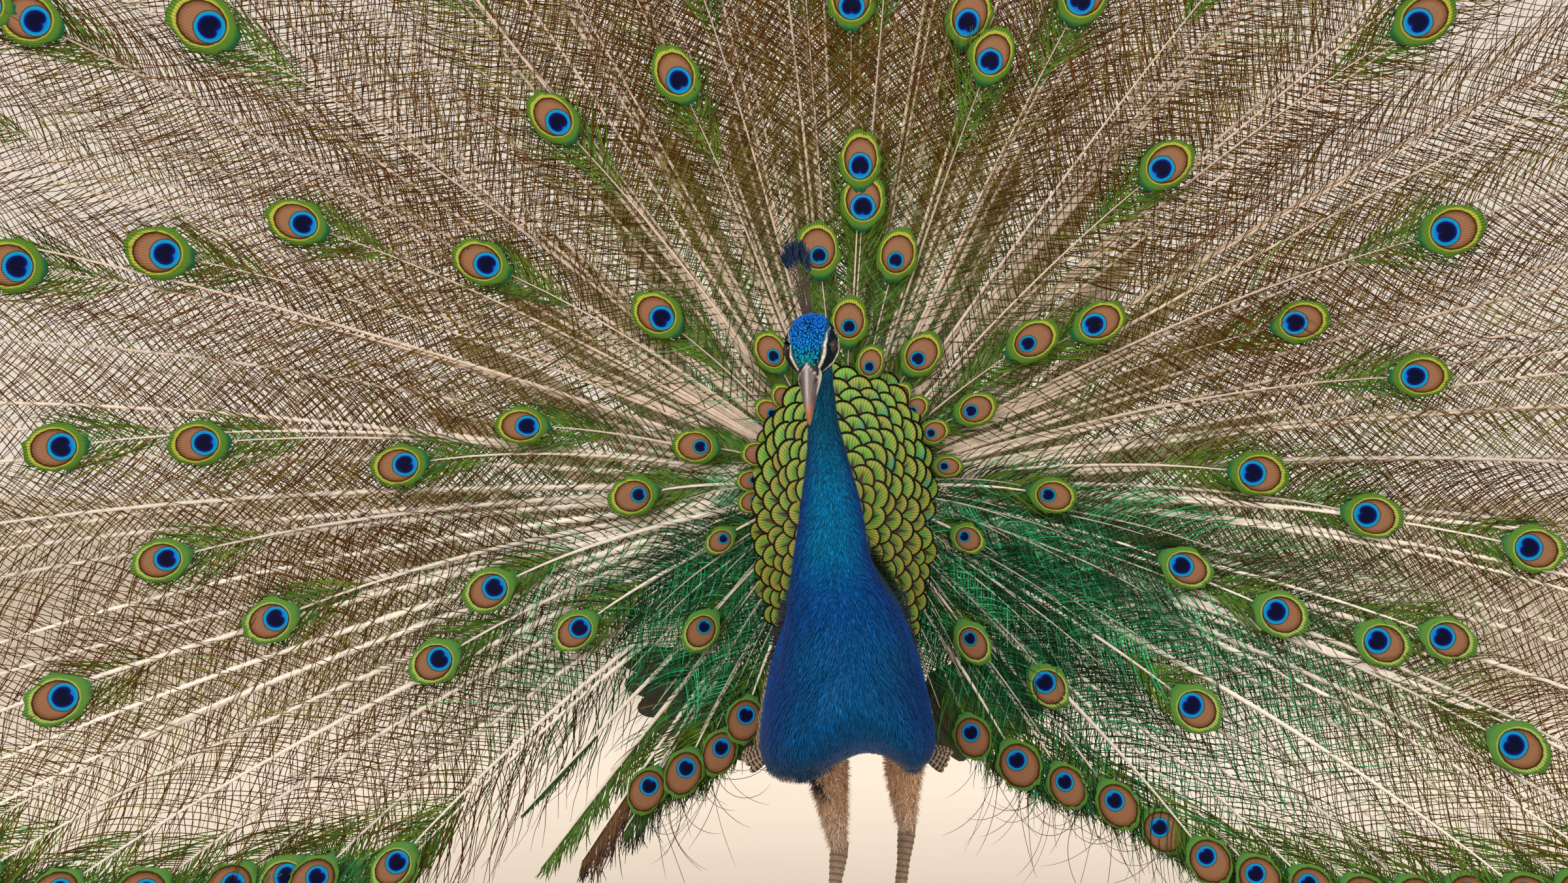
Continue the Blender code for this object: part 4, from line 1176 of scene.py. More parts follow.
# ---------------------------------------------------------------- shield


def shield_place(x, share_z):
    """Points on the domed shield, from their shares of its half width and half height."""
    share = np.clip(np.abs(x) ** (1 / SHIELD_POWER), 0, 1) ** 2 + np.abs(share_z) ** (2 / SHIELD_POWER)
    share = np.clip(np.sqrt(share), 0, 1)
    px = SHIELD_HALF_WIDTH * x
    pz = SHIELD_CENTRE_Z + SHIELD_HALF_HEIGHT * share_z
    height = SHIELD_RIM + SHIELD_DOME * (1 - share**2) ** 0.7
    return np.stack((px, fan_depth(np.hypot(px, pz - FAN_Z)) - height, pz), axis=-1)


def make_scales(material):
    """The shield's scales, set out in a spiral so that they lie evenly, each a small dome."""
    order = np.arange(SCALE_COUNT)
    share = np.sqrt((order + 0.5) / SCALE_COUNT) * 0.985
    angle = order * GOLDEN_ANGLE
    cosine, sine = np.cos(angle), np.sin(angle)

    def at(distance):
        x = np.sign(cosine) * np.abs(cosine) ** SHIELD_POWER * distance
        z = np.sign(sine) * np.abs(sine) ** SHIELD_POWER * distance
        return shield_place(x, z)

    middle = at(share)
    outward = unit(at(np.minimum(share + 0.04, 1.0)) - at(np.maximum(share - 0.04, 0.0)))
    outward = unit(outward * np.array((1.0, 0.55, 1.0)))
    sideways, front = front_axes(outward)
    height = middle[:, 2:3]
    p, q = (grid.ravel() for grid in disc_grid(SCALE_GRID))
    size = RNG.uniform(0.86, 1.16, (SCALE_COUNT, 1)) * (0.86 + 0.36 * smoothstep(0.36, 0.56, height))
    dome = 0.0016 * (1 - q**2) + 0.0022 * np.clip(p, -1, 1) + 0.0006
    points = moved(
        middle, (outward, p * SCALE_LENGTH * size), (sideways, q * SCALE_WIDTH * size), (front, dome[None]),
    )
    both = np.stack((points, points - front[:, None, :] * SCALE_THICKNESS), axis=1)
    quads = plate_quads(SCALE_GRID, SCALE_GRID, SCALE_COUNT)
    own = np.broadcast_to(np.stack((p, q), axis=-1), (SCALE_COUNT, 2, len(p), 2))
    cell, columns = cells(SCALE_COUNT)
    bake = cell[:, None, None, :] + (own * 0.45 + 0.5) / columns
    leafy = np.clip(RNG.normal(0.10, 0.22, (SCALE_COUNT, 1)) + 0.55 * smoothstep(0.40, 0.58, height), 0, 1)
    washed = RNG.uniform(0, 1, (SCALE_COUNT, 1)) < 0.07 + 0.14 * smoothstep(0.45, 0.58, height)
    wash = washed[:, None, :] * smoothstep(0.1, 0.9, q * np.sign(p + 0.3))[None, :, None]
    colour = mixed(mixed(SCALE_GOLD, SCALE_LEAF, leafy)[:, None, :], SCALE_SEA, wash)
    tint = np.broadcast_to(colour[:, None, :, :], both.shape)
    maps = {"Scale": own, "OFBake": bake}
    piece_from("shield_scales", both, quads, material, maps, tint, ("back_shield",))


# ---------------------------------------------------------------- skin and coat


def head_frame():
    """The head's frame in the bird's own: x towards the bill, y to the bird's left, z to the crown."""
    ahead = Vector((0.0, -math.cos(HEAD_PITCH), -math.sin(HEAD_PITCH)))
    left = Vector((1.0, 0.0, 0.0))
    turn = Matrix((ahead, left, ahead.cross(left))).transposed().to_4x4()
    yaw = Matrix.Rotation(HEAD_YAW, 4, "Z")
    return Matrix.Translation(HEAD_CENTRE) @ yaw @ turn @ Matrix.Rotation(HEAD_ROLL, 4, "X")


HEAD = np.array(head_frame())


def in_head(points):
    """Points of the bird's frame in the head's own frame."""
    inverse = np.linalg.inv(HEAD)
    return points @ inverse[:3, :3].T + inverse[:3, 3]


def from_head(points):
    return np.asarray(points) @ HEAD[:3, :3].T + HEAD[:3, 3]


def near_line(u, v, corners):
    """Distance of points (u, v) from a line through corners (u, v, half width), less its half width."""
    best = np.full(u.shape, 9.0)
    for (a, b, wide), (c, d, narrow) in zip(corners, corners[1:]):
        t = np.clip(((u - a) * (c - a) + (v - b) * (d - b)) / ((c - a) ** 2 + (d - b) ** 2), 0, 1)
        gap = np.hypot(u - a - t * (c - a), v - b - t * (d - b)) - (wide + (narrow - wide) * t)
        best = np.minimum(best, gap)
    return best


def crown_line(x):
    """Height in the head's frame where the crown's beads end."""
    return 0.0150 - 0.0075 * smoothstep(0.004, 0.026, x) - 0.006 * smoothstep(-0.012, -0.030, x)


def plumage(points, normals):
    """The colour of skin and coat at points of the bird's frame: blue neck and breast with a painted
    iridescent sheen that is lighter where they face the front, buff thighs, brown belly, and the face's
    white stripes on black."""
    x, y, z = points[..., 0], points[..., 1], points[..., 2]
    # Painted iridescent sheen: cerulean and the lighter breast blue where the surface faces the front, royal
    # blue where it turns aside.
    facing_sheen = -normals[..., 1]
    colour = blend(NECK_ROYAL, NECK_CERULEAN, smoothstep(0.35, 0.98, facing_sheen) * smoothstep(0.36, 0.43, z))
    colour = blend(colour, BREAST_BLUE, smoothstep(0.1, 0.8, facing_sheen) * smoothstep(0.41, 0.33, z))
    colour = blend(colour, BREAST_DEEP, smoothstep(0.262, 0.222, z))
    colour = blend(colour, THROAT_TEAL, smoothstep(0.47, 0.55, z) * 0.9)
    belly = smoothstep(-0.03, 0.01, y) * smoothstep(0.275, 0.255, z)
    vent = smoothstep(0.02, 0.09, y) * smoothstep(0.44, 0.34, z)
    colour = blend(colour, BELLY_BROWN, np.maximum(belly, vent))
    colour = blend(colour, RUMP_GREEN, smoothstep(0.0, 0.05, y) * smoothstep(0.34, 0.40, z))
    behind = 0.024 * smoothstep(-0.025, 0.005, y)
    off_thigh = np.abs(x - np.where(x < 0.012, -0.020, 0.053))
    thigh = smoothstep(0.226 + behind, 0.210 + behind, z) * smoothstep(0.047, 0.039, off_thigh)
    buff = blend(THIGH_BUFF, SHANK_BUFF, smoothstep(0.20, 0.15, z))
    tuft = smoothstep(0.182, 0.192, z) * smoothstep(0.012, 0.008, np.abs(x + 0.034 - 0.35 * (0.21 - z)))
    buff = blend(buff, THIGH_BLACK, tuft * smoothstep(0.02, 0.0, y))
    colour = blend(colour, buff, thigh)
    local = in_head(points)
    u, side, v = local[..., 0], np.abs(local[..., 1]), local[..., 2]
    head = smoothstep(-0.030, -0.018, u) * smoothstep(0.060, 0.050, np.linalg.norm(local, axis=-1))
    front = smoothstep(*MASK_FRONT, u)
    face = head * np.maximum(smoothstep(0.006, 0.010, side), front) * smoothstep(-0.0145, -0.0105, v)
    black = smoothstep(0.0015, -0.001, near_line(u, v, EYE_BAND))
    colour = blend(colour, FACE_BLACK, face * np.maximum(black, front))
    stripes = np.minimum(near_line(u, v, BROW_STRIPE), near_line(u, v, CHEEK_STRIPE))
    white = smoothstep(0.0004, -0.0004, stripes) * smoothstep(0.0050, 0.0065, side)
    colour = blend(colour, FACE_WHITE, face * white)
    # Painted shade: the skin under the crown's beads is dark, so that the gaps between the beads read as
    # shaded.
    crown = head * (1 - front) * smoothstep(-0.0005, 0.0008, v - crown_line(u))
    return blend(colour, CROWN_GAP_SHADE, crown)


def shaped(obj, kind, **settings):
    """Gives the active object a modifier and applies it."""
    modifier = obj.modifiers.new(kind.lower(), kind)
    for key, value in settings.items():
        setattr(modifier, key, value)
    bpy.ops.object.modifier_apply(modifier=modifier.name)


def make_skin(material):
    """One skin over head, neck, trunk and thighs, inside them by the coat's depth."""
    bm = bmesh.new()
    for name in SKIN_NODES:
        bm.from_mesh(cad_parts[name].data)
    bmesh.ops.remove_doubles(bm, verts=bm.verts, dist=1e-5)
    bmesh.ops.recalc_face_normals(bm, faces=bm.faces)
    mesh = bpy.data.meshes.new("body_skin")
    bm.to_mesh(mesh)
    bm.free()
    skin = bpy.data.objects.new("body_skin", mesh)
    bpy.context.scene.collection.objects.link(skin)
    only(skin)
    shaped(skin, "DISPLACE", strength=SKIN_SWELL, mid_level=0.0)
    shaped(skin, "REMESH", mode="VOXEL", voxel_size=SKIN_VOXEL)
    soft = skin.vertex_groups.new(name="soft")
    head = skin.vertex_groups.new(name="head")
    for vert in skin.data.vertices:
        of_head = float(smoothstep(0.050, 0.036, np.linalg.norm(in_head(np.array(vert.co) - SHIFT))))
        low = float(smoothstep(0.225, 0.195, vert.co.z))
        soft.add([vert.index], 1.0 - max(of_head, low * 0.8), "REPLACE")
        head.add([vert.index], of_head, "REPLACE")
    shaped(skin, "SMOOTH", factor=0.7, iterations=60, vertex_group="soft")
    shaped(skin, "SMOOTH", factor=0.7, iterations=5, vertex_group="head")
    shaped(skin, "DISPLACE", strength=-SKIN_SWELL - COAT_DEPTH, mid_level=0.0)
    skin.vertex_groups.clear()
    shape_breast(skin.data)
    widen_head(skin.data)
    tint_points(skin.data, plumage(*skin_arrays(skin.data)))
    finished(skin, "body_skin", material, SKIN_NODES, 0.001)
    return skin


def widen_head(mesh):
    """Fills out the cheeks sideways, from behind the bill to the nape."""
    points = skin_arrays(mesh)[0]
    local = in_head(points)
    near = smoothstep(0.046, 0.032, np.linalg.norm(local, axis=1)) * smoothstep(0.030, 0.012, local[:, 0])
    local[:, 1] *= 1 + HEAD_WIDER * near
    mesh.vertices.foreach_set("co", (from_head(local) + SHIFT).astype(np.float32).ravel())
    mesh.update()


def shape_breast(mesh):
    """Lifts the middle of the breast's lower edge between its two rounded corners."""
    for vert in mesh.vertices:
        x, y, z = vert.co[0], vert.co[1] - SHIFT[1], vert.co[2]
        low = float(smoothstep(0.285, 0.222, z) * smoothstep(0.205, 0.212, z) * smoothstep(0.13, 0.06, y))
        middle = float(smoothstep(-0.075, 0.016, x) * smoothstep(0.062, 0.030, x))
        vert.co[2] += 0.015 * low * middle - 0.005 * low * float(smoothstep(0.0, -0.04, x))
        vert.co[0] += math.copysign(0.0025, x) * low * (1.0 - middle)


def skin_arrays(mesh):
    """Points in the bird's own frame, and normals."""
    points = np.empty(len(mesh.vertices) * 3, np.float32)
    mesh.vertices.foreach_get("co", points)
    normals = np.empty(len(mesh.vertices) * 3, np.float32)
    mesh.vertex_normals.foreach_get("vector", normals)
    return points.reshape(-1, 3) - SHIFT, normals.reshape(-1, 3)


class Ground:
    """A surface that feathers grow on: triangles to draw roots from, and a search tree to lie close by."""

    def __init__(self, mesh):
        mesh.calc_loop_triangles()
        self.points, self.normals = skin_arrays(mesh)
        self.corners = np.empty(len(mesh.loop_triangles) * 3, np.int32)
        mesh.loop_triangles.foreach_get("vertices", self.corners)
        self.corners = self.corners.reshape(-1, 3)
        loops = np.empty(len(mesh.loop_triangles) * 3, np.int32)
        mesh.loop_triangles.foreach_get("loops", loops)
        uv = np.empty(len(mesh.loops) * 2, np.float32)
        mesh.uv_layers["OFBake"].data.foreach_get("uv", uv)
        self.uv = uv.reshape(-1, 2)[loops].reshape(-1, 3, 2)
        a, b, c = (self.points[self.corners[:, k]] for k in range(3))
        self.area = np.linalg.norm(np.cross(b - a, c - a), axis=1) / 2
        self.middle = (a + b + c) / 3
        self.tree = BVHTree.FromPolygons(self.points.tolist(), self.corners.tolist())

    def roots(self, wanted, spacing):
        """Roots about a spacing apart, as thick as wanted says for each triangle's middle."""
        weight = self.area * wanted(self.middle)
        count = int(2.2 * weight.sum() / spacing**2)
        chosen = RNG.choice(len(weight), size=count, p=weight / weight.sum())
        a, b = RNG.uniform(0, 1, (2, count, 1))
        over = a + b > 1
        a, b = np.where(over, 1 - a, a), np.where(over, 1 - b, b)
        corners = self.corners[chosen]
        mix = [1 - a - b, a, b]
        points = sum(self.points[corners[:, k]] * mix[k] for k in range(3))
        normals = unit(sum(self.normals[corners[:, k]] * mix[k] for k in range(3)))
        uv = sum(self.uv[chosen, k] * mix[k] for k in range(3))
        cells = np.floor(points / spacing).astype(np.int64) @ np.array((1, 7919, 15485863))
        first = np.unique(cells, return_index=True)[1]
        return points[first], normals[first], uv[first]

    def laid(self, points, heights):
        """The same points, moved to lie at heights over the surface, and the normals there."""
        places = np.empty_like(points)
        normals = np.empty_like(points)
        for k, (point, height) in enumerate(zip(points, heights)):
            near, normal, _, _ = self.tree.find_nearest(Vector(point))
            places[k] = np.array(near) + np.array(normal) * height
            normals[k] = normal
        return places, normals


def lie_of_coat(points):
    """The way the coat lies: down the neck, down the breast and back along the body, back over the head."""
    y, z = points[:, 1], points[:, 2]
    back = smoothstep(-0.11, 0.06, y) * smoothstep(0.42, 0.34, z)
    outwards = points[:, 0] * 1.6 * smoothstep(0.42, 0.32, z)
    flow = np.stack((outwards, 0.15 + 1.3 * back, -1.0 + 0.95 * back), axis=-1)
    thigh = smoothstep(0.225, 0.205, z)[:, None]
    flow = flow * (1 - thigh) + np.array((0.0, 0.12, -1.0)) * thigh
    head = smoothstep(0.052, 0.040, np.linalg.norm(in_head(points), axis=1))[:, None]
    backwards = HEAD[:3, :3] @ np.array((-1.0, 0.0, -0.15))
    return unit(flow * (1 - head) + backwards * head)


def laid_flat(flow, normals):
    """Directions turned to lie along the surface."""
    return unit(flow - normals * np.sum(flow * normals, axis=1, keepdims=True))


def make_coat(name, ground, grows, spacing, length, width, lift, material, slot="blue_plumage",
              jitter=0.25, steps=3, ragged=0.0, tones=0.30):
    """Small flat feathers where they are said to grow, each lying along the skin and lifting to its tip."""
    points, normals, uv = ground.roots(grows, spacing)
    flow = laid_flat(lie_of_coat(points) + RNG.normal(0, jitter, points.shape) * 0.5, normals)
    count = len(points)
    lengths = length * RNG.uniform(0.75, 1.2, count)
    path = np.empty((count, steps, 3))
    across = np.empty((count, steps, 3))
    for k in range(steps):
        share = k / (steps - 1)
        high = lift * share * RNG.uniform(0.6, 1.3 + ragged * share, count) - 0.0006 * (1 - share)
        if k == 0:
            path[:, 0], normal = points + normals * high[:, None], normals
        else:
            path[:, k], normal = ground.laid(path[:, 0] + flow * (lengths * share)[:, None], high)
        across[:, k] = unit(np.cross(flow, normal))
    widths = width * np.interp(np.linspace(0, 1, steps), (0, 0.55, 1), (0.8, 1.0, 0.12))[None, :]
    tone = np.exp(RNG.normal(0, tones, (count, 1)))
    tint = np.repeat((plumage(points, normals) * tone)[:, None, :], steps, axis=1)
    ribbons(name, path, across, widths * np.ones((count, 1)), uv, tint, material)


def make_body_coats(ground, material):
    """The coat of each region, as the places where it grows and its spacing, length, width and lift."""

    def off_head(p):
        return np.linalg.norm(in_head(p), axis=1) > HEAD_REACH

    def in_range(low, high):
        return lambda p: ((p[:, 2] > low) & (p[:, 2] <= high) & off_head(p)) * 1.0

    def on_throat(p):
        local = in_head(p)
        crown = (local[:, 2] > crown_line(local[:, 0])) & (local[:, 0] > -0.033)
        return (p[:, 2] > 0.50) & off_head(p) & ~crown

    def on_belly(p):
        return (p[:, 2] <= 0.240) & (p[:, 2] > 0.205) & (np.abs(p[:, 1]) < 0.14)

    def on_thighs(p):
        return p[:, 2] <= 0.226

    def on_rump(p):
        return (p[:, 1] > 0.075) & (p[:, 2] > 0.235) & (p[:, 2] < 0.43)

    def on_face(p):
        u, side, v = in_head(p).T
        below_crown = (v < crown_line(u) + 0.001) | (u > 0.0230)
        off_eye = (np.abs(side) < 0.012) | (np.hypot(u, v - EYE_CENTRE[2]) > 0.0062)
        return (np.linalg.norm(in_head(p), axis=1) < 0.045) & below_crown & off_eye

    thighs = {"slot": "buff_thigh_feathers", "jitter": 0.7, "ragged": 1.6}
    rump = {"jitter": 0.6, "steps": 4, "ragged": 1.2}
    for name, grows, spacing, length, width, lift, settings in (
        ("coat_throat", on_throat, 0.00135, 0.0075, 0.0011, 0.0016, {}),
        ("coat_neck", in_range(0.385, 0.50), 0.00150, 0.0090, 0.0012, 0.0018, {}),
        ("coat_breast", in_range(0.226, 0.385), 0.00185, 0.0120, 0.0014, 0.0022, {}),
        ("coat_belly", on_belly, 0.0022, 0.0110, 0.0016, 0.0022, {}),
        ("coat_thighs", on_thighs, 0.0016, 0.0085, 0.0012, 0.0024, thighs),
        ("coat_rump", on_rump, 0.0034, 0.024, 0.0030, 0.0060, rump),
        ("coat_face", on_face, 0.00080, 0.0028, 0.0007, 0.0006, {"jitter": 0.15, "tones": 0.10}),
    ):
        make_coat(name, ground, grows, spacing, length, width, lift, material, **settings)


def make_crown_beads(ground, material):
    """The small curled, glossy feathers of the crown, as low domes."""

    def on_crown(p):
        local = in_head(p)
        u, _, v = local.T
        on_top = (v > crown_line(u)) & (u > CROWN_BACK) & (u < CROWN_FRONT)
        return on_top & (np.linalg.norm(local, axis=1) < 0.050)

    points, normals, uv = ground.roots(on_crown, BEAD_SPACING)
    count = len(points)
    backwards = HEAD[:3, :3] @ np.array((-1.0, 0.0, 0.0)) + RNG.normal(0, 0.25, (count, 3))
    flow = laid_flat(backwards, normals)
    across = np.cross(flow, normals)
    radius = BEAD_RADIUS * RNG.uniform(0.78, 1.2, count)[:, None]
    angles = 2 * np.pi * np.arange(BEAD_SIDES) / BEAD_SIDES
    shape = np.array([
        (wide * math.cos(angle) * 1.15, wide * math.sin(angle) * 0.85, height)
        for wide, height in BEAD_RINGS for angle in angles
    ])
    body = moved(points + normals * 0.0007, *(
        (way, shape[:, k] * radius) for k, way in enumerate((flow, across, normals))
    ))
    cap = len(shape) - BEAD_SIDES + np.array([(0, 1, 2, 3), (0, 3, 4, 7), (4, 5, 6, 7)])
    quads = np.concatenate((tube_quads(1, len(BEAD_RINGS), BEAD_SIDES), cap))[:, ::-1]
    quads = copies_of(quads, count, len(shape))
    u = in_head(points)[:, 0]
    colour = blend(BEAD_ROYAL, BEAD_SKY, smoothstep(-0.024, 0.000, u) * RNG.uniform(0.5, 1, count))
    colour = blend(colour, BEAD_SEA, smoothstep(0.002, 0.020, u + RNG.normal(0, 0.003, count)))
    colour = colour * RNG.uniform(0.45, 1.3, (count, 1))
    patch = (shape[:, :2] * 0.0012)[None] + uv[:, None, :]
    tint = np.repeat(colour[:, None, :], len(shape), axis=1)
    piece_from("crown_beads", body, quads, material, {"OFBake": patch}, tint)


# ---------------------------------------------------------------- head


def curve_through(values, shares):
    """A smooth curve through rows of values, read at shares from 0 to 1."""
    values = np.asarray(values, float)
    place = np.clip(shares, 0, 1) * (len(values) - 1)
    i = np.minimum(place.astype(int), len(values) - 2)
    t = (place - i)[:, None]
    a, b = values[i], values[i + 1]
    before, after = values[np.maximum(i - 1, 0)], values[np.minimum(i + 2, len(values) - 1)]
    return 0.5 * (2 * a + (b - before) * t + (2 * before - 5 * a + 4 * b - after) * t**2
                  + (3 * a - before - 3 * b + after) * t**3)


def bill_colours(points, half_width, level, height, upper):
    """Grey horn with a painted highlight along the ridge, painted shade in the nostril and a brown tip, and
    dark down and a cream line round its base.
    """
    x, y, z = points.T
    rise = (z - level) / height
    # Painted shade of the nostril's opening: a dark spot on the bill, which has no hole there.
    pit = np.exp(-(((x - NOSTRIL[0]) / 0.0042) ** 2) - ((z - NOSTRIL[1]) / 0.0015) ** 2) * upper
    # Painted highlight: a paler band along the top of the upper bill's ridge.
    ridge = np.exp(-((y / 0.0018) ** 2)) * (z > level) * upper
    colour = blend(BILL_GREY, BILL_PALE_LINES_AND_HIGHLIGHT, 0.8 * ridge)
    colour = blend(colour, BILL_TIP, smoothstep(0.052, 0.069, x) * 0.9)
    colour = blend(colour, NOSTRIL_SHADE, np.clip(pit * 1.6, 0, 1))
    colour = blend(colour, BILL_SEAM, 0.6 * np.exp(-(((z - level) / 0.0010) ** 2)))
    wedge = 1.15 * smoothstep(0.0215, 0.0370, x) if upper else 1.6 * smoothstep(0.0290, 0.0340, x)
    outside = np.abs(y) / half_width - wedge
    border = smoothstep(-0.16, -0.08, outside) * smoothstep(0.05, 0.0, outside)
    colour = blend(colour, np.array(BILL_PALE_LINES_AND_HIGHLIGHT) * 1.3, border * (smoothstep(0.25, 0.55, rise) * upper))
    colour = blend(colour, BILL_DOWN, smoothstep(-0.03, 0.03, outside))
    edge = 0.36 - 0.14 * smoothstep(0.033, 0.045, x)
    cream = smoothstep(edge + 0.05, edge - 0.05, rise) * smoothstep(0.0480, 0.0430, x)
    return blend(colour, BILL_CREAM, cream * upper)


def make_bill(name, sections, widest, material, nodes):
    """One half of the bill, drawn out along the head's x. Its widest line lies at a share of its height,
    and what lies across that line from the ridge or keel is pressed flatter, row by row."""
    x, half_width, top, bottom = curve_through(sections, np.linspace(0, 1, BILL_ROWS)).T
    level = bottom + widest * (top - bottom)
    upper = name.endswith("upper")
    height = top - level if upper else level - bottom
    flat = (level - bottom if upper else top - level) / height
    rings = [(z, 0.0, along, high, wide) for z, along, high, wide in zip(-level, x, height, half_width)]
    bill = drawn_out(rings, BILL_SIDES)
    places = corner_places(bill)
    row = np.abs(places[:, 2:3] - x[None, :]).argmin(axis=1)
    rise = -places[:, 0] - level[row]
    thin = rise < -1e-6 if upper else rise > 1e-6
    for k in range(BILL_ROWS):
        middle = (float(-level[k]), 0.0, float(x[k]))
        bpy.ops.object.mode_set(mode="EDIT")
        bpy.ops.mesh.select_mode(type="VERT")
        bpy.ops.mesh.select_all(action="DESELECT")
        bpy.ops.object.mode_set(mode="OBJECT")
        bill.data.vertices.foreach_set("select", thin & (row == k))
        bpy.ops.object.mode_set(mode="EDIT")
        bpy.ops.transform.resize(value=(float(flat[k]), 1.0, 1.0), center_override=middle)
        bpy.ops.object.mode_set(mode="OBJECT")
    turn = Matrix(((0, 0, 1, 0), (0, 1, 0, 0), (-1, 0, 0, 0), (0, 0, 0, 1)))
    points = corner_places(bill) @ np.array(turn)[:3, :3].T
    tint_points(bill.data, bill_colours(points, half_width[row], level[row], height[row], upper))
    set_down(bill, head_frame() @ turn)
    finished(bill, name, material, nodes)


def make_eyes(eye_material, lid_material):
    """Each eyeball, brown with a dark pupil, in a ring of bare dark lid."""
    for side, sign in SIDES:
        outward = Vector((0.18, sign, 0.10)).normalized()
        middle = Vector((EYE_CENTRE[0], sign * EYE_CENTRE[1], EYE_CENTRE[2]))
        bpy.ops.object.select_all(action="DESELECT")
        bpy.ops.mesh.primitive_uv_sphere_add(segments=32, ring_count=24, radius=EYE_RADIUS)
        ball = bpy.context.object
        polar = np.arccos(np.clip(corner_places(ball)[:, 2] / EYE_RADIUS, -1, 1))
        tint = blend(PUPIL, IRIS, smoothstep(0.50, 0.58, polar))
        tint_points(ball.data, blend(tint, EYEBALL_EDGE, smoothstep(0.95, 1.10, polar)))
        set_down(ball, head_frame() @ frame_at(middle, outward))
        finished(ball, f"eyeball_{side}", eye_material, (f"eye_{side}",))
        bpy.ops.object.select_all(action="DESELECT")
        bpy.ops.mesh.primitive_torus_add(
            major_segments=40, minor_segments=12, major_radius=EYE_RADIUS, minor_radius=LID_THICKNESS,
        )
        lid = bpy.context.object
        bpy.ops.object.mode_set(mode="EDIT")
        bpy.ops.transform.resize(value=(0.98, 0.82, 1.0), center_override=(0, 0, 0))
        bpy.ops.object.mode_set(mode="OBJECT")
        tint_points(lid.data, LID)
        set_down(lid, head_frame() @ frame_at(middle + outward * EYE_RADIUS * 0.46, outward))
        finished(lid, f"eyelid_{side}", lid_material, ())


def make_crest(material):
    """Bare upright shafts that fan out over the crown, each with a dark blue tuft."""
    n = CREST_SHAFTS
    place = np.linspace(-1, 1, n) + RNG.normal(0, 0.04, n)
    spread = unit(np.array(CREST_SPREAD))
    depth = unit(np.cross(spread, np.array((0.0, 0.0, 1.0))))
    root = np.array(CREST_ROOT) + spread * (place * 0.0045)[:, None] - np.array((0, 0, 0.006))
    top = np.array(CREST_TOP) + spread * (place * 0.0215)[:, None] + depth * RNG.normal(0, 0.0016, (n, 1))
    top[:, 2] += 0.004 - 0.010 * place**2 + RNG.normal(0, 0.0018, n)
    t = np.linspace(0, 1, CREST_RINGS)[None, :, None]
    bend = (root + top) / 2 - spread * (place * 0.0035)[:, None]
    path = (1 - t) ** 2 * root[:, None] + 2 * t * (1 - t) * bend[:, None] + t**2 * top[:, None]
    along = unit(np.gradient(path, axis=1))
    side = unit(np.cross(along, depth))
    deep = np.cross(along, side)
    radius = 0.00048 * (1 - 0.45 * t[..., 0]) * np.ones((n, 1))
    points = tube_points(path, side, deep, radius, radius, CREST_SIDES)
    tint = np.broadcast_to(np.array(CREST_SHAFT_COLOUR), points.shape)
    roots = np.linspace(0.05, 0.95, n)[:, None, None, None] * np.array((1.0, 0.0))
    uv = roots + t[..., None] * np.array((0.0, ROOT_PATCH)) + np.zeros((*points.shape[:3], 2))
    quads = tube_quads(n, CREST_RINGS, CREST_SIDES)
    piece_from("crest_shafts", points, quads, material, {"OFBake": uv}, tint, ("crest",))
    which = np.repeat(np.arange(n), CREST_STRANDS)
    count = len(which)
    ahead, aside = along[which, -1], side[which, -1]
    share = RNG.uniform(0.0, 1.0, count)
    start = top[which] - ahead * (0.013 * (1 - share))[:, None]
    opening = (RNG.uniform(-0.75, 0.75, count) * (0.5 + 0.5 * (1 - share)))[:, None]
    way = ahead * np.cos(opening) + aside * np.sin(opening)
    way = way + deep[which, -1] * RNG.normal(0, 0.22, (count, 1))
    length = RNG.uniform(0.006, 0.0105, count)
    t = np.linspace(0, 1, 3)[None, :, None]
    path = start[:, None] + way[:, None] * (t * length[:, None, None]) + ahead[:, None] * (t**2 * 0.002)
    across = unit(np.cross(way, depth))[:, None, :] * np.ones((1, 3, 1))
    widths = np.array((0.0009, 0.0012, 0.0003))[None] * np.ones((count, 1))
    tint = np.array(CREST_BLUE) * RNG.uniform(0.5, 1.4, (count, 1, 1)) * np.ones((count, 3, 3))
    tint = np.where(RNG.uniform(0, 1, (count, 1, 1)) < 0.2, np.array(CREST_TEAL), tint)
    uv = np.stack((0.05 + 0.9 * which / n, 0.3 + 0.5 * share), axis=-1)
    ribbons("crest_tufts", path, across, widths, uv, tint, material)


# ---------------------------------------------------------------- legs


def scuted(profile, start, stop, radius, pitch, ridge, height=0.0):
    """Rings along a limb that step out to the edge of each scute, and how near each lies to such an edge.
    The profile is (share, width) and the height is that of the limb's middle, as a share of its radius."""
    shares, widths = zip(*profile)
    count = max(1, round((stop - start) / pitch))
    rings, edges = [], []
    for k in range(count):
        for saw in (0.0, 0.62, 0.94):
            along = start + (stop - start) * (k + saw) / count
            base = radius * float(np.interp(along / (stop - start), shares, widths))
            wide = base + ridge * (saw - 0.5)
            rings.append((0.0, base * height, along, wide, wide))
            edges.append(float(saw > 0.9))
    return rings, edges


def scaly_limb(rings, edges, place, sides=20):
    """A limb along +Z whose scutes' edges are darker."""
    limb = drawn_out(rings, sides)
    z = corner_places(limb)[:, 2:3]
    row = np.abs(z - np.array([ring[2] for ring in rings])[None, :]).argmin(axis=1)
    tint_points(limb.data, blend(SCUTE, SCUTE_EDGE, np.array(edges)[row]))
    set_down(limb, place)
    return limb


def horn(path, radii, place, sides=14):
    """A claw or spur along +Z that bends by the y of its path."""
    point = drawn_out([(0.0, y, z, radius, radius) for (y, z), radius in zip(path, radii)], sides)
    share = np.clip(corner_places(point)[:, 2] / path[-1][1], 0, 1)
    tint_points(point.data, np.array(HORN) * (1.6 - share)[:, None])
    set_down(point, place)
    return point


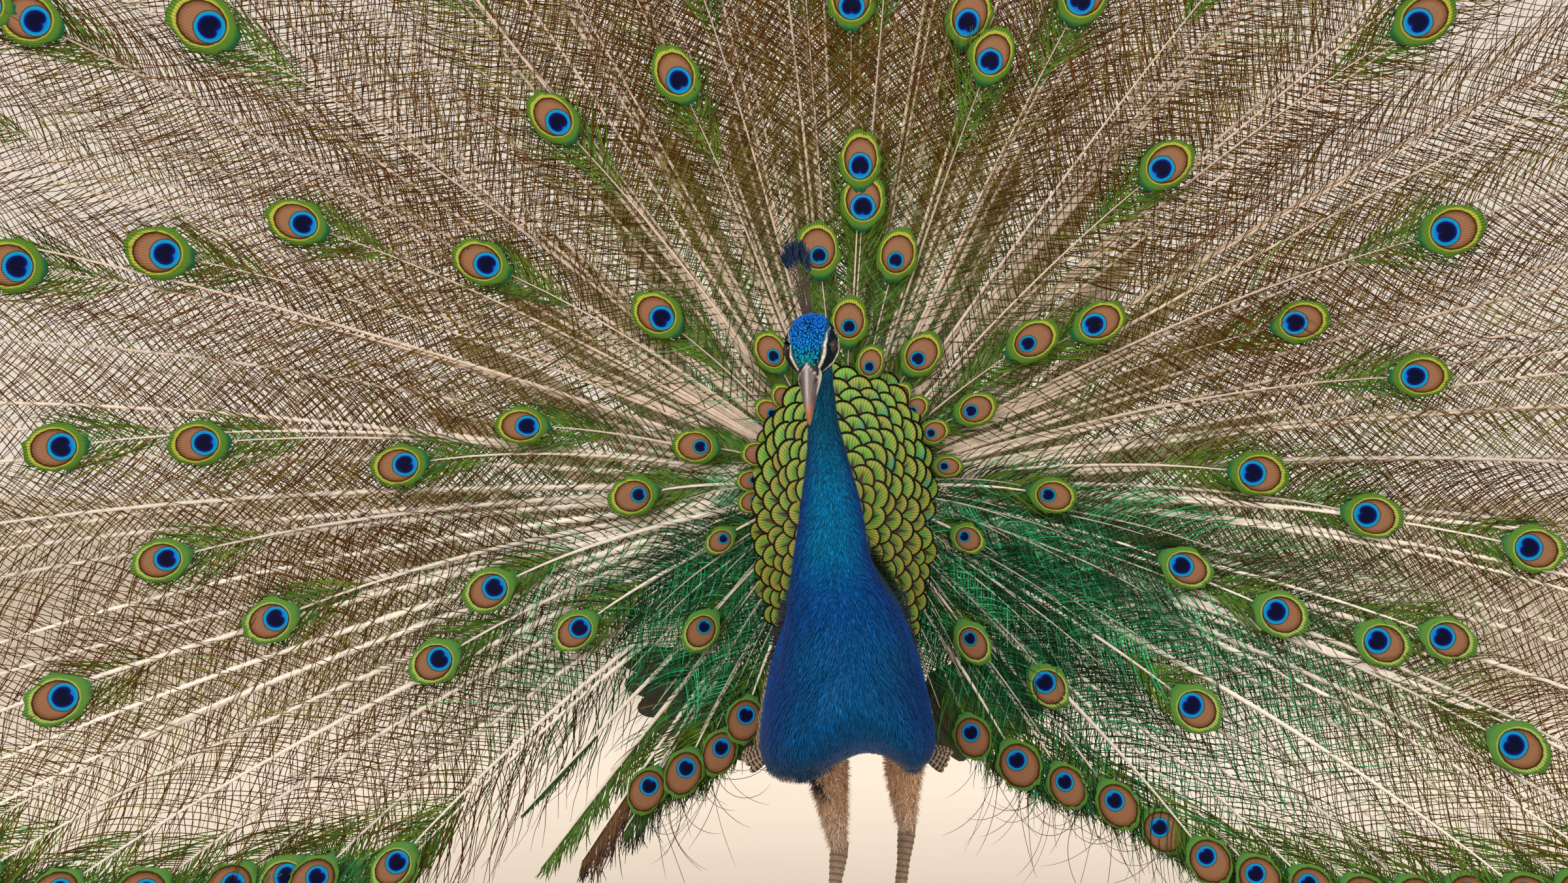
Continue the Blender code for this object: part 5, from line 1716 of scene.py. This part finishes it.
def cut_at_floor(obj):
    """Flattens what stands on the floor, by cutting it level with the soles."""
    bpy.context.view_layer.objects.active = obj
    bpy.ops.object.mode_set(mode="EDIT")
    bpy.ops.mesh.select_all(action="SELECT")
    bpy.ops.mesh.bisect(plane_co=(0, 0, 0), plane_no=(0, 0, 1), use_fill=True, clear_inner=True)
    bpy.ops.object.mode_set(mode="OBJECT")


def make_leg(side, skin_material, claw_material):
    """Scaly shank and toes as one piece, and the claws and spur."""
    hock, ankle, heading = LEGS[side]
    hock, ankle = Vector(hock), Vector(ankle)
    length = (ankle - hock).length
    rings, edges = scuted(SHANK_PROFILE, 0.0, length, SHANK_RADIUS, SHANK_SCUTE, 0.0009)
    knee = SHANK_RADIUS * 1.30
    rings = [(0.0, 0.0, -0.07 * length, knee, knee)] + rings
    rings = rings + [(0.0, 0.0, 1.05 * length, SHANK_RADIUS, SHANK_RADIUS)]
    down = frame_at(hock, ankle - hock, (0.0, -1.0, 0.0))
    limbs = [scaly_limb(rings, [0.0] + edges + [0.0], down, 26)]
    claws = []
    for name, spread, reach, radius in TOES:
        outwards = math.radians(heading + (spread if side == "left" else -spread))
        along = Matrix.Rotation(outwards, 3, "Z") @ Vector((0.0, -1.0, 0.0))
        place = frame_at((ankle[0], ankle[1], 0.0), along)
        rings, edges = scuted(TOE_PROFILE, 0.0, reach, radius, TOE_SCUTE, 0.0007, TOE_HEIGHT)
        root = (0.0, 0.0085 if name != "hind" else 0.0075, -0.004, radius * 1.35, radius * 1.35)
        blunt = rings[-1]
        tip = (0.0, blunt[1], reach + 0.0018, radius * 0.25, radius * 0.25)
        limbs.append(scaly_limb([root] + rings[1:] + [tip], [0.0] + edges[1:] + [0.0], place))
        path = [(blunt[1] - drop, reach + CLAW_LENGTH * share) for share, drop in CLAW_BEND]
        claws.append(horn(path, [radius * 0.6 * width for width in CLAW_WIDTHS], place))
    leg, nails = joined(limbs), joined(claws)
    cut_at_floor(leg)
    finished(leg, f"leg_{side}", skin_material, (f"shank_{side}", f"foot_{side}"))
    cut_at_floor(nails)
    claw_nodes = tuple(f"claw_{name}_{side}" for name, *_ in TOES)
    finished(nails, f"claws_{side}", claw_material, claw_nodes)
    root = ankle + (hock - ankle) * SPUR_HEIGHT
    way = ((-1.0 if side == "left" else 1.0) * 0.45, 0.88, 0.12)
    path = [(0.0022 * share**2, SPUR_LENGTH * share) for share, _ in SPUR_PROFILE]
    spur = horn(path, [radius for _, radius in SPUR_PROFILE], frame_at(root, way), 16)
    finished(spur, f"spur_point_{side}", claw_material, (f"spur_{side}",))


# ---------------------------------------------------------------- stiff feathers


def make_vanes(name, bases, tips, normals, width, material, colours, nodes, rows, columns=5,
               camber=0.10, bend=0.0, backs=None):
    """Stiff feathers as closed, cambered plates from base to tip, with their own map (along, across)."""
    count = len(bases)
    along = tips - bases
    length = np.linalg.norm(along, axis=1)[:, None]
    ahead = along / length
    side = unit(np.cross(ahead, np.broadcast_to(normals, bases.shape)))
    out = np.cross(side, ahead)
    share = np.repeat(np.linspace(0, 1, rows), columns)
    across = np.tile(np.linspace(-1, 1, columns), rows)
    profile = np.interp(share, (0, 0.12, 0.45, 0.8, 1.0), (0.30, 0.62, 1.0, 0.97, 0.55))
    reach = share - VANE_ROUNDING * across**2 * share**6
    half = np.broadcast_to(width, (count,))[:, None] / 2
    points = moved(
        bases, (ahead, reach * length), (side, profile * across * half),
        (out, camber * (1 - across**2) * profile * half), (out, bend * share**2 * length),
    )
    both = np.stack((points, points - out[:, None, :] * VANE_THICKNESS), axis=1)
    own = np.broadcast_to(np.stack((share, across), axis=-1), (count, 2, len(share), 2))
    cell, table = cells(count)
    bake = cell[:, None, None, :] + (own * np.array((0.9, 0.45)) + np.array((0.05, 0.5))) / table
    faces = np.stack((colours, colours if backs is None else backs), axis=1)
    tint = np.broadcast_to(faces[:, :, None, :], both.shape)
    maps = {"Vane": own, "OFBake": bake}
    piece_from(name, both, plate_quads(rows, columns, count), material, maps, tint, nodes)


def vane_material(name, bars=0.0, shaft_colour=QUILL, roughness=0.6):
    """A stiff feather: a pale shaft, slanting barbs, and wavy dark bars if asked."""
    finish = Finish(name, roughness=roughness, specular=0.35)
    u, v, _ = finish.split(finish.map_place("Vane"))
    slant = finish.less(finish.times(u, 90.0), finish.times(finish.math("ABSOLUTE", v), 14.0))
    lines = finish.math("SINE", finish.times(slant, 3.0))
    colour = finish.scaled(finish.tint(), finish.add(finish.times(lines, 0.10), 1.0))
    if bars:
        wobble = finish.times(finish.times(finish.noise(90.0, 3.0), 0.9), 5.0)
        wave = finish.math("SINE", finish.add(finish.times(u, bars), wobble))
        colour = finish.mix(finish.step(wave, -0.1, 0.25), colour, COVERT_BAR)
    colour = finish.mix(finish.step(finish.math("ABSOLUTE", v), 0.075, 0.035), colour, shaft_colour)
    finish.set("Base Color", colour)
    finish.bump(lines, 0.3, 0.0005)
    return finish.material


def make_tail():
    """The stiff tail proper, fanned behind the train, its feathers one before and one behind in turn."""
    n = TAIL_FEATHERS
    angles = np.radians(np.linspace(0, 180, n) + RNG.normal(0, 0.8, n))
    ray = np.stack((np.cos(angles), np.full(n, TAIL_LEAN), np.sin(angles)), axis=-1)
    step = np.where(np.arange(n) % 2 == 0, 0.0, 0.004)[:, None] * np.array((0.0, 1.0, 0.0))
    bases = np.array(TAIL_CENTRE) + ray * 0.03 + step
    tips = np.array(TAIL_CENTRE) + ray * TAIL_RADIUS * RNG.uniform(0.95, 1.0, (n, 1)) + step
    shade = RNG.uniform(0.85, 1.12, (n, 1))
    # The fronts carry painted light, much paler than the grey-brown backs that are the feathers' own colour.
    make_vanes("tail_feathers", bases, tips, (0.0, -1.0, 0.0), VANE_WIDTH,
               vane_material("tail_vanes", roughness=0.75), np.array(TAIL_FRONT_PAINTED_LIGHT) * shade,
               ("tail",), rows=14, columns=7, backs=np.array(TAIL_BACK) * shade)


def make_wing(side, sign, covert_material, quill_material):
    """Rows of barred coverts over the wing's shell, the feathers beside the belly, and the primaries."""
    mirror = np.array((float(sign), 1.0, 1.0))
    row, place = np.divmod(np.arange(COVERT_ROWS * COVERTS_IN_ROW), COVERTS_IN_ROW)
    share = np.clip((place + 0.5 * (row % 2) + 0.2) / COVERTS_IN_ROW, 0, 1)
    down = (row + 0.25) / COVERT_ROWS
    top = curve_through(WING_UPPER_EDGE, share)
    bottom = curve_through(WING_LOWER_EDGE, share)
    bases = top + (bottom - top) * (down - 0.10)[:, None]
    tips = top + (bottom - top) * np.clip(down + 0.20, 0, 1.04)[:, None] + np.array((0.002, 0.020, 0.0))
    bulge = WING_SKIN + 0.004 * np.sin(np.pi * np.clip(down, 0, 1))
    bases[:, 0] += bulge * 0.6
    tips[:, 0] += bulge + 0.003
    widths = COVERT_WIDTH * RNG.uniform(0.9, 1.1, len(bases))
    colours = np.array(COVERT_BROWN) * RNG.uniform(0.8, 1.15, (len(bases), 1))
    make_vanes(f"wing_coverts_{side}", bases * mirror, tips * mirror, mirror * (1.0, 0.0, 0.15), widths,
               covert_material, colours, (f"wing_{side}",), rows=7, camber=0.16)
    n = BELLY_SIDE_FEATHERS
    place = np.linspace(0, 1, n)[:, None]
    bases = np.array(BELLY_SIDE_ROOT) + place * np.array((0.004, 0.020, 0.004))
    tips = bases + np.array((0.021, 0.0, -0.014)) + place * np.array((0.003, 0.0, 0.010))
    tips = tips + RNG.normal(0, 0.0015, (n, 3))
    colours = np.array(BELLY_SIDE_BROWN) * RNG.uniform(0.8, 1.15, (n, 1))
    make_vanes(f"belly_side_feathers_{side}", bases * mirror, tips * mirror, mirror * (0.2, -1.0, 0.3),
               BELLY_SIDE_WIDTH, covert_material, colours, (), rows=9,
               camber=0.3, bend=-0.25)
    n = PRIMARY_FEATHERS
    angles = np.radians(np.linspace(*PRIMARY_ANGLES, n))
    reach = np.linspace(*PRIMARY_REACH, n)[:, None]
    ray = np.stack((np.cos(angles), np.full(n, PRIMARY_LEAN), np.sin(angles)), axis=-1)
    bases = np.array(PRIMARY_ROOT) + ray * 0.004
    tips = np.array(PRIMARY_ROOT) + ray * reach
    for ends in (bases, tips):
        ends[:, 1] += np.arange(n) * 0.0011
    backs = np.array(PRIMARY_RUFOUS) * RNG.uniform(0.85, 1.1, (n, 1))
    fronts = np.broadcast_to(PRIMARY_DARK, backs.shape)
    make_vanes(f"flight_feathers_{side}", bases * mirror, tips * mirror, mirror * (0.55, -0.8, 0.0),
               VANE_WIDTH, quill_material, fronts, (f"primaries_{side}",),
               rows=12, backs=backs)


# ---------------------------------------------------------------- stage


def make_stage():
    """The floor, the studio's even light and its lamps."""
    bpy.ops.mesh.primitive_circle_add(vertices=96, radius=FLOOR_RADIUS, fill_type="NGON")
    floor = bpy.context.object
    floor.name = "floor"
    finish = Finish("pale_floor", roughness=0.9, specular=0.2)
    finish.set("Base Color", finish.mix(finish.noise(3.0), *FLOOR_COLOURS))
    floor.data.materials.append(finish.material)
    world = bpy.data.worlds.new("studio")
    world.use_nodes = True
    background = world.node_tree.nodes["Background"]
    background.inputs[0].default_value = WORLD_COLOUR
    background.inputs[1].default_value = WORLD_STRENGTH
    bpy.context.scene.world = world
    for place, size, power, aim in LAMPS:
        light = bpy.data.lights.new("soft_light", "AREA")
        light.size = size
        light.energy = power
        lamp = bpy.data.objects.new("soft_light", light)
        lamp.location = place
        lamp.rotation_euler = (Vector((0, 0, aim)) - Vector(place)).to_track_quat("-Z", "Y").to_euler()
        bpy.context.scene.collection.objects.link(lamp)


def make_camera():
    bpy.context.scene.view_settings.view_transform = "Standard"
    data = bpy.data.cameras.new("camera")
    data.lens = CAMERA_LENS
    data.sensor_width = CAMERA_SENSOR
    camera = bpy.data.objects.new("camera", data)
    camera.location = Vector(CAMERA_PLACE) + Vector(SHIFT)
    camera.rotation_euler = (math.pi / 2, 0, 0)
    bpy.context.scene.collection.objects.link(camera)
    bpy.context.scene.camera = camera


def make_train(barb, shaft):
    """All of the fan: shafts, barbs, eyes and the plumes round them, fishtails, sickles and skirt."""
    feathers = train_feathers()
    rim = rim_feathers()
    sectors = [f"train_{side}_{k}" for side, _ in SIDES for k in range(1, 9)]
    make_shafts("train_shafts", feathers, 0.0058, shaft, sectors)
    make_shafts("rim_shafts", rim, 0.0048, shaft)
    make_barbs("train_barbs", feathers, barb)
    make_barbs("rim_barbs", rim, barb)
    low = green_feathers()
    make_shafts("low_shafts", low, 0.0034, shaft, dull=0.5)
    make_barbs("low_barbs", low, barb, 0.0042, 0.085, 0.30)
    order = np.arange(len(feathers.reach))
    ringed = sum(len(angles) for _, angles in EYE_RINGS)
    fringe = (order >= ringed) & (order < ringed + sum(count for _, count in FRINGE_ROWS))
    small = (feathers.reach < 0.235) & ~fringe
    eyes = eye_spot_material("train_eye_colours")
    make_eye_spots("train_eyes", some_of(feathers, ~small & ~fringe), eyes)
    eyes = eye_spot_material("near_eye_colours", 0.72, EYE_SEA)
    make_eye_spots("near_eyes", some_of(feathers, small), eyes)
    eyes = eye_spot_material("fringe_eye_colours", 0.88, EYE_SKY, FRINGE_OVALS, FRINGE_RING)
    make_eye_spots("fringe_eyes", some_of(feathers, fringe), eyes)
    make_eye_plumes(feathers, barb)
    make_fishtails(rim, barb)
    make_sickles(shaft, barb)
    make_skirt(barb)


def make_head(ground):
    """Crown, bill, eyes and crest."""
    gloss = tinted("crown_gloss", 400.0, 0.8, 1.2, (0.2, 0.6, 1.0), roughness=0.24)
    make_crown_beads(ground, gloss)
    bill = tinted("bill_horn", 500.0, 0.85, 1.12, roughness=0.33)
    make_bill("beak_upper", BILL_UPPER, 0.08, bill, ("bill_upper",))
    make_bill("beak_lower", BILL_LOWER, 0.92, bill, ("bill_lower",))
    wet = tinted("wet_eye", 900.0, 0.9, 1.1, roughness=0.06, specular=0.35)
    make_eyes(wet, tinted("bare_lid", 900.0, 0.7, 1.2, roughness=0.5))
    make_crest(tinted("crest_colours", 300.0, roughness=0.5))


def main():
    bpy.ops.object.select_all(action="DESELECT")
    make_camera()
    make_stage()
    barb = tinted("train_barbs", 60.0, 0.75, 1.3, roughness=0.5, specular=0.06)
    make_train(barb, tinted("train_shafts", 200.0, 0.85, 1.1, roughness=0.45))
    make_scales(scale_material())
    plume = tinted("plumage", 350.0, 0.75, 1.25, (0.15, 0.55, 1.0), roughness=0.46, specular=0.35)
    ground = Ground(make_skin(plume).data)
    make_body_coats(ground, plume)
    make_head(ground)
    scutes = tinted("leg_scutes", 420.0, 0.7, 1.25, roughness=0.55)
    claw = tinted("claw_horn", 300.0, 0.8, 1.2, roughness=0.35)
    for side, _ in SIDES:
        make_leg(side, scutes, claw)
    make_tail()
    coverts = vane_material("barred_coverts", bars=42.0, roughness=0.7)
    quills = vane_material("flight_vanes", shaft_colour=RUFOUS_QUILL)
    for side, sign in SIDES:
        make_wing(side, sign, coverts, quills)


main()
bpy.context.view_layer.update()
